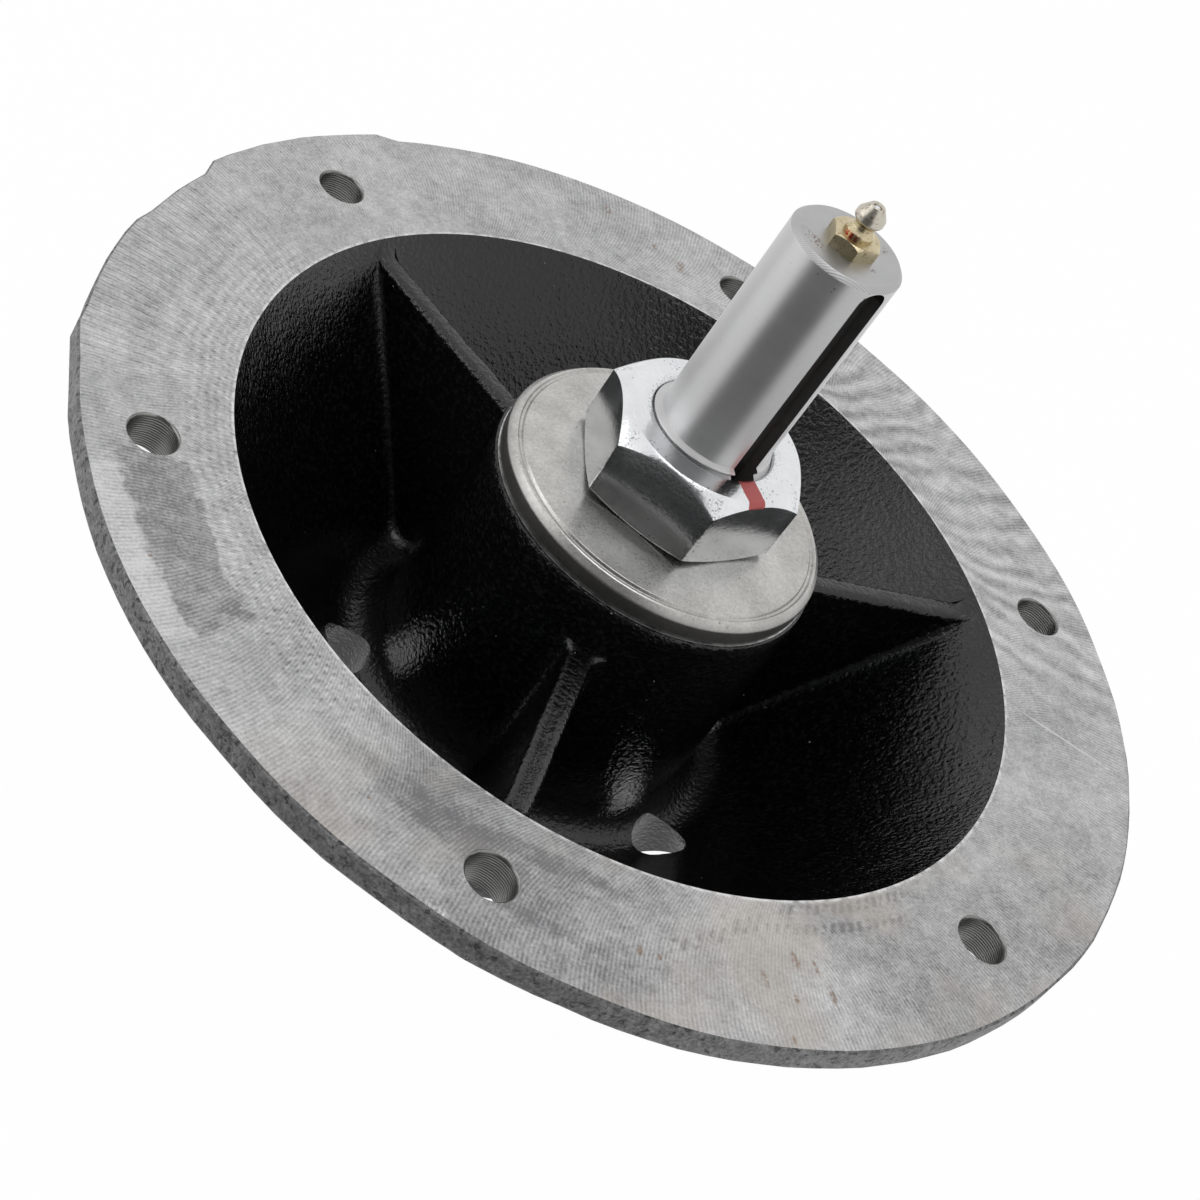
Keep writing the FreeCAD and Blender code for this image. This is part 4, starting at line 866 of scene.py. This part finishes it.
def cast_lumps(built):
    """Gives the cast skin its slight waviness; machined faces and bores stay true."""
    built.normal_update()
    moves = []
    for vertex in built.verts:
        reach, height = vertex.co.xy.length / MM, vertex.co.z / MM
        is_machined = height > -0.5 and reach > MOUTH - 0.5 or reach < HUB_RADIUS - 0.9
        if is_machined or height > HUB_TOP - 1:
            continue
        spot = vertex.co * 1000
        lump = noise.noise(spot / 9.0) * 0.16 + noise.noise(spot / 3.5 + Vector((7, 3, 1))) * 0.09
        moves.append((vertex, vertex.normal * lump * MM))
    for vertex, move in moves:
        vertex.co += move


def hole_tool(name, reach, turn, line, lean=0.0):
    """A round cutter with its axis upright at a place on the casting; its lower end leans outwards."""
    tool = revolve(name, [(0, line[0][1]), *line, (0, line[-1][1])], 48, closed=False)
    for vertex in tool.data.vertices:
        out = reach * MM + lean * max(0.0, line[1][1] * MM - vertex.co.z)
        vertex.co.x += out * math.cos(turn)
        vertex.co.y += out * math.sin(turn)
    return tool


def build_casting():
    """The casting with its bolt holes and drains cut, and a material on each kind of surface."""
    casting = casting_grid("cast_housing")
    bolt = [(BOLT_HOLE + 1.5, 1.0), (BOLT_HOLE + 0.5, 0.0), (BOLT_HOLE, -0.5), (BOLT_HOLE, -12.0)]
    drain = [(DRAIN, DRAIN_TOP), (DRAIN, DRAIN_NECK), (DRAIN + DRAIN_FLARE, DRAIN_LOW)]
    tools = [hole_tool("bolt_hole", BOLT_CIRCLE, turn, bolt) for turn in BOLT_TURNS]
    tools += [hole_tool("drain", DRAIN_CIRCLE, turn, drain, DRAIN_LEAN) for turn in DRAIN_TURNS]
    cut(casting, *tools)
    materials = (painted, machined, bare_edge, drilled)
    for material in materials:
        casting.data.materials.append(material)
    drains = [(DRAIN_CIRCLE * math.cos(turn), DRAIN_CIRCLE * math.sin(turn)) for turn in DRAIN_TURNS]
    bolts = [(BOLT_CIRCLE * math.cos(turn), BOLT_CIRCLE * math.sin(turn)) for turn in BOLT_TURNS]
    for face in casting.data.polygons:
        spot = face.center / MM
        reach = spot.xy.length
        level = abs(face.normal.z)
        if min(math.dist(spot.xy, middle) for middle in bolts) < BOLT_HOLE + 0.52 and level < 0.9:
            surface = drilled
        elif min(math.dist(spot.xy, middle) for middle in drains) < DRAIN + 0.05 and level < 0.05:
            surface = drilled
        elif spot.z > -0.05 and reach > MOUTH - 0.2 or reach < HUB_RADIUS - 0.9:
            surface = machined
        elif reach > FLANGE_RADIUS - 2.2:
            surface = bare_edge
        else:
            surface = painted
        face.material_index = materials.index(surface)
    finish_piece(casting, "housing", "spindle_housing", [], sharp=40)


build_casting()


# ---- the shaft and what sits on it ----
def thread_radius(radius, height, angle):
    """The radius on the thread, a ridge that climbs one pitch a turn."""
    if not THREAD_LOW < height < THREAD_TOP:
        return radius
    phase = (height / THREAD_PITCH - angle / (2 * math.pi)) % 1.0
    drop = min(1.0, max(0.0, (abs(phase - 0.5) * 2 - THREAD_CREST) / THREAD_FLANKS))
    return max(radius - THREAD_DEPTH * drop, SHAFT)


def build_shaft():
    """The shaft: blade seat, journals, thread, ground keyed end and milled keyway."""
    steps = 40
    thread = []
    for step in range(1, steps):
        height = THREAD_TOP + (THREAD_LOW - THREAD_TOP) * step / steps
        thread.append((min(THREAD, SHAFT + 0.45 + (THREAD_TOP - height)), height))
    line = soften([
        (0, SHAFT_TOP - 9), (2.5, SHAFT_TOP - 9), (2.5, SHAFT_TOP - 6),
        (4.05, SHAFT_TOP - 6), (4.05, SHAFT_TOP),
        (SHAFT - 1.05, SHAFT_TOP, 0.25), (SHAFT, SHAFT_TOP - 1.05, 0.3), (SHAFT, THREAD_TOP),
        *thread,
        (THREAD, THREAD_LOW), (THREAD, JOURNAL_TOP), (JOURNAL, JOURNAL_TOP),
        (JOURNAL, JOURNAL_LOW), (SEAL_JOURNAL, JOURNAL_LOW),
        (SEAL_JOURNAL, BLADE_SEAT_BOTTOM + 9), (BLADE_SEAT - 0.8, BLADE_SEAT_BOTTOM + 9, 0.3),
        (BLADE_SEAT, BLADE_SEAT_BOTTOM + 8.2, 0.3), (BLADE_SEAT, BLADE_SEAT_BOTTOM, 0.3),
        (SHAFT, BLADE_SEAT_BOTTOM), (SHAFT, SHAFT_BOTTOM + 0.8, 0.3), (SHAFT - 0.8, SHAFT_BOTTOM, 0.3),
        (BLADE_HOLE + 0.5, SHAFT_BOTTOM), (BLADE_HOLE, SHAFT_BOTTOM + 0.5),
        (BLADE_HOLE, SHAFT_BOTTOM + BLADE_HOLE_DEPTH),
        (0, SHAFT_BOTTOM + BLADE_HOLE_DEPTH + BLADE_HOLE / math.tan(DRILL_POINT))], 4)
    shaft = revolve("keyed_shaft", line, 144, closed=False, shaped=thread_radius)
    cut(shaft, key_tool())
    materials = (ground, faced, slotted)
    for material in materials:
        shaft.data.materials.append(material)
    middle = Vector((math.cos(KEYWAY_ANGLE), math.sin(KEYWAY_ANGLE)))
    aside = Vector((-middle.y, middle.x))
    for face in shaft.data.polygons:
        spot = face.center / MM
        forward, sideways = spot.xy.dot(middle), spot.xy.dot(aside)
        in_slot = abs(sideways) < KEYWAY_WIDTH / 2 + 0.01 and spot.z > KEYWAY_LOW - 0.01
        is_inside = spot.xy.length < SHAFT - 0.12 and spot.z < SHAFT_TOP - 1.0
        if in_slot and is_inside and KEYWAY_FLOOR - 0.01 < forward:
            face.material_index = materials.index(slotted)
        elif face.normal.z > 0.3 and spot.z > SHAFT_TOP - 1.2 or spot.z < BLADE_SEAT_BOTTOM + 0.1:
            face.material_index = materials.index(faced)
    finish_piece(shaft, "shaft", "spindle_shaft", [], sharp=28)


def key_tool():
    """The slot cutter's path: a bar with round ends."""
    middle = Vector((math.cos(KEYWAY_ANGLE), math.sin(KEYWAY_ANGLE), 0))
    aside = Vector((-middle.y, middle.x, 0))
    half, high = KEYWAY_WIDTH / 2, SHAFT_TOP - KEYWAY_LAND
    outline = []
    for side, middle_height in ((1, high - half), (-1, KEYWAY_LOW + half)):
        for step in range(33):
            angle = math.pi * step / 32
            outline.append((side * half * math.cos(angle), middle_height + side * half * math.sin(angle)))
    return bar("key_tool", [
        [(middle * reach + aside * across + Vector((0, 0, up))) * MM for across, up in outline]
        for reach in (KEYWAY_FLOOR, THREAD + 4)])


def build_nut():
    """The jam nut, its corners bevelled, its edges soft and its bore countersunk."""
    low = CAP_TOP
    nut = hexagon_bar("hexagon_nut", NUT_FLATS, NUT_ANGLE, low, NUT_TOP)
    bore = THREAD + 0.1
    bore_tool = [(0, NUT_TOP + 1), (bore + 1.5, NUT_TOP + 1), (bore + 0.5, NUT_TOP), (bore, NUT_TOP - 0.5),
                 (bore, low - 1), (0, low - 1)]
    corner = NUT_FLATS / math.sqrt(3)
    upper = corner_tool("upper_corners", NUT_FACE, corner, NUT_TOP, NUT_CORNER_DROP)
    lower = corner_tool("lower_corners", NUT_FACE, corner, low, -NUT_BASE_RISE)
    cut(nut, revolve("nut_bore", bore_tool, 144, closed=False), upper, lower)
    soft_edges(nut, 0.35, 14)
    finish_piece(nut, "shaft", "jam_nut", [zinc], sharp=12)


def build_cap():
    """The shield cap with a fine groove inside its rounded edge."""
    edge = CAP_TOP - CAP_DROP
    out, wide, deep = CAP_EDGE - 0.4, 1.4, 0.45
    slope = CAP_DROP / (CAP_EDGE - CAP_SEAT)
    groove = [(out - wide, edge + (CAP_EDGE - out + wide) * slope, 0.25),
              (out - 0.7 * wide, edge - deep, 0.2), (out - 0.3 * wide, edge - deep, 0.2),
              (out, edge + (CAP_EDGE - out) * slope, 0.15)]
    inner, under = CAP_RADIUS - CAP_WALL, CAP_TOP - CAP_PLATE
    line = soften([
        (THREAD + 0.2, CAP_LOW), (THREAD + 0.2, CAP_TOP), (CAP_SEAT, CAP_TOP, 12.0), *groove,
        (CAP_EDGE, edge, 0.7), (CAP_RADIUS, edge - 1.5, 1.0), (CAP_RADIUS, CAP_SKIRT_LOW, 0.3),
        (inner, CAP_SKIRT_LOW, 0.3), (inner, under), (SEAL_JOURNAL, under), (SEAL_JOURNAL, CAP_LOW)], 6)
    cap = revolve("round_cap", line, 192)
    finish_piece(cap, "shaft", "shield_cap", [blasted], sharp=50)


def build_fitting():
    """The grease fitting: hexagon with soft edges, collar, neck and ball head."""
    foot = SHAFT_TOP
    hexagon = hexagon_bar("fitting", FITTING_FLATS, FITTING_ANGLE, foot, foot + FITTING_HEX)
    corner = FITTING_FLATS / math.sqrt(3)
    cut(hexagon, corner_tool("fitting_corners", FITTING_FLATS / 2, corner, foot + FITTING_HEX, 0.6))
    soft_edges(hexagon, 0.18, 14)
    head = soften([
        (0.9, foot + 2.0), (3.2, foot + 2.0), (3.2, foot + 4.05, 0.3), (2.25, foot + 5.0, 0.3),
        (2.25, foot + 5.9, 0.35), (3.2, foot + 6.9, 0.8), (3.2, foot + 8.2, 1.6), (1.55, FITTING_TOP, 0.25),
        (1.15, FITTING_TOP), (0.9, FITTING_TOP - 0.25), (0.9, foot + 7.5), (0.9, foot + 2.0)], 8)
    neck = revolve("fitting_head", head, 72)
    stem = [(0, foot + 0.5), (4.0, foot + 0.5), (4.0, foot - 6.0), (0, foot - 6.0)]
    shank = revolve("fitting_stem", stem, 48, closed=False)
    built = bmesh.new()
    for part in (hexagon, neck, shank):
        built.from_mesh(part.data)
        if part is not hexagon:
            bpy.data.objects.remove(part)
    hexagon.data = mesh_of("grease_fitting", built)
    hexagon.name = "grease_fitting"
    finish_piece(hexagon, "shaft", "grease_fitting_body", [yellow], sharp=16)


build_shaft()
build_nut()
build_cap()
build_fitting()


# ---- floor, light and camera ----
FLOOR_WHITE = 0.985
DARK_SIDE = (-0.616, -0.788)
DARK_EDGES = [math.cos(math.radians(angle)) for angle in (44, 30)]
DARK_SHARE = 0.86
DIFFUSE_LIGHT = 0.42
GLOSSY_LIGHT = 0.56


def ray_kinds(tree):
    """1 for a ray from the camera, for a reflected one and for one that passed through something."""
    path = tree.nodes.new("ShaderNodeLightPath")
    return [Wire(tree, path.outputs[f"Is {kind} Ray"]) for kind in ("Camera", "Glossy", "Transmission")]


def floor():
    """A pale floor under the part that shows as white and keeps the shadow; darker behind the camera."""
    finish = Finish("pale_floor", Roughness=0.9, Base_Color=(0.86, 0.86, 0.86, 1))
    tree = finish.tree
    camera_ray, glossy, through = ray_kinds(tree)
    seen = camera_ray.greater(glossy).greater(through)
    across, along, _ = finish.place()
    reach = finish.radius()
    toward = (across * DARK_SIDE[0] + along * DARK_SIDE[1]) / reach
    dark = toward.ramp(*DARK_EDGES) * reach.ramp(130.0, 260.0) * glossy
    surface = finish.shader.outputs[0]
    for share, strength in ((seen * FLOOR_WHITE, 1.0), (dark * 0.92, 0.07)):
        light = finish.node("ShaderNodeEmission", Color=(1, 1, 1, 1), Strength=strength)
        blend = finish.node("ShaderNodeMixShader", Fac=share)
        feed(blend.inputs[1], surface)
        feed(blend.inputs[2], light.outputs[0])
        surface = blend.outputs[0]
    feed(tree.nodes["Material Output"].inputs["Surface"], surface)
    built = bmesh.new()
    half = 12.0
    low = CAD_BOX[0][2] - 0.0005
    corners = ((-half, -half), (half, -half), (half, half), (-half, half))
    built.faces.new([built.verts.new((east, north, low)) for east, north in corners])
    piece = new_object("floor", mesh_of("floor", built))
    piece.data.materials.append(finish.material)


def lamp(name, place, aim, size, power):
    """A soft square lamp."""
    light = bpy.data.lights.new(name, "AREA")
    light.shape = "RECTANGLE"
    light.size, light.size_y = size
    light.energy = power
    holder = bpy.data.objects.new(name, light)
    bpy.context.scene.collection.objects.link(holder)
    holder.location = place
    holder.rotation_euler = (Vector(aim) - Vector(place)).to_track_quat("-Z", "Y").to_euler()


def studio():
    """White surroundings, dark behind the camera, with plain soft lamps."""
    world = bpy.data.worlds.new("studio")
    bpy.context.scene.world = world
    world.use_nodes = True
    tree = world.node_tree
    back = tree.nodes["Background"]
    camera_ray, glossy, through = ray_kinds(tree)
    seen = camera_ray.greater(through)
    heading = tree.nodes.new("ShaderNodeSeparateXYZ")
    feed(heading.inputs[0], tree.nodes.new("ShaderNodeTexCoord").outputs["Generated"])
    east, north, height = (Wire(tree, heading.outputs[letter]) for letter in "XYZ")
    toward = (east * DARK_SIDE[0] + north * DARK_SIDE[1]) / (east * east + north * north) ** 0.5
    dark = toward.ramp(*DARK_EDGES) * (1.0 - height.ramp(0.80, 0.97))
    strength = (seen + glossy * (GLOSSY_LIGHT - dark * DARK_SHARE) + DIFFUSE_LIGHT).lesser(1.0)
    feed(back.inputs["Strength"], strength)
    feed(back.inputs["Color"], (1, 1, 1, 1))
    lamp("key_lamp", (-1.05, 0.30, 0.50), (0, 0, 0), (0.9, 0.7), 1.9)
    lamp("top_lamp", (-0.10, -0.10, 1.3), (0, 0, 0), (0.8, 0.8), 3.0)


def camera():
    """The photograph's viewpoint and framing."""
    right = Vector((0.88602, -0.16947, 0.431567))
    up = Vector((-0.18145, 0.72983, 0.659110))
    back = right.cross(up).normalized()
    up = back.cross(right).normalized()
    turn = Matrix((right.normalized(), up, back)).transposed().to_4x4()
    lens = bpy.data.cameras.new("camera")
    lens.sensor_width = 36.0
    lens.lens = 70.68
    lens.shift_x = 0.12685
    lens.shift_y = -0.07878
    lens.clip_start = 0.01
    lens.clip_end = 100.0
    holder = bpy.data.objects.new("camera", lens)
    bpy.context.scene.collection.objects.link(holder)
    holder.matrix_world = Matrix.Translation((-0.25798, -0.33018, 0.30393)) @ turn
    bpy.context.scene.camera = holder


floor()
studio()
camera()
bpy.context.scene.view_settings.view_transform = "Standard"
bpy.context.view_layer.update()
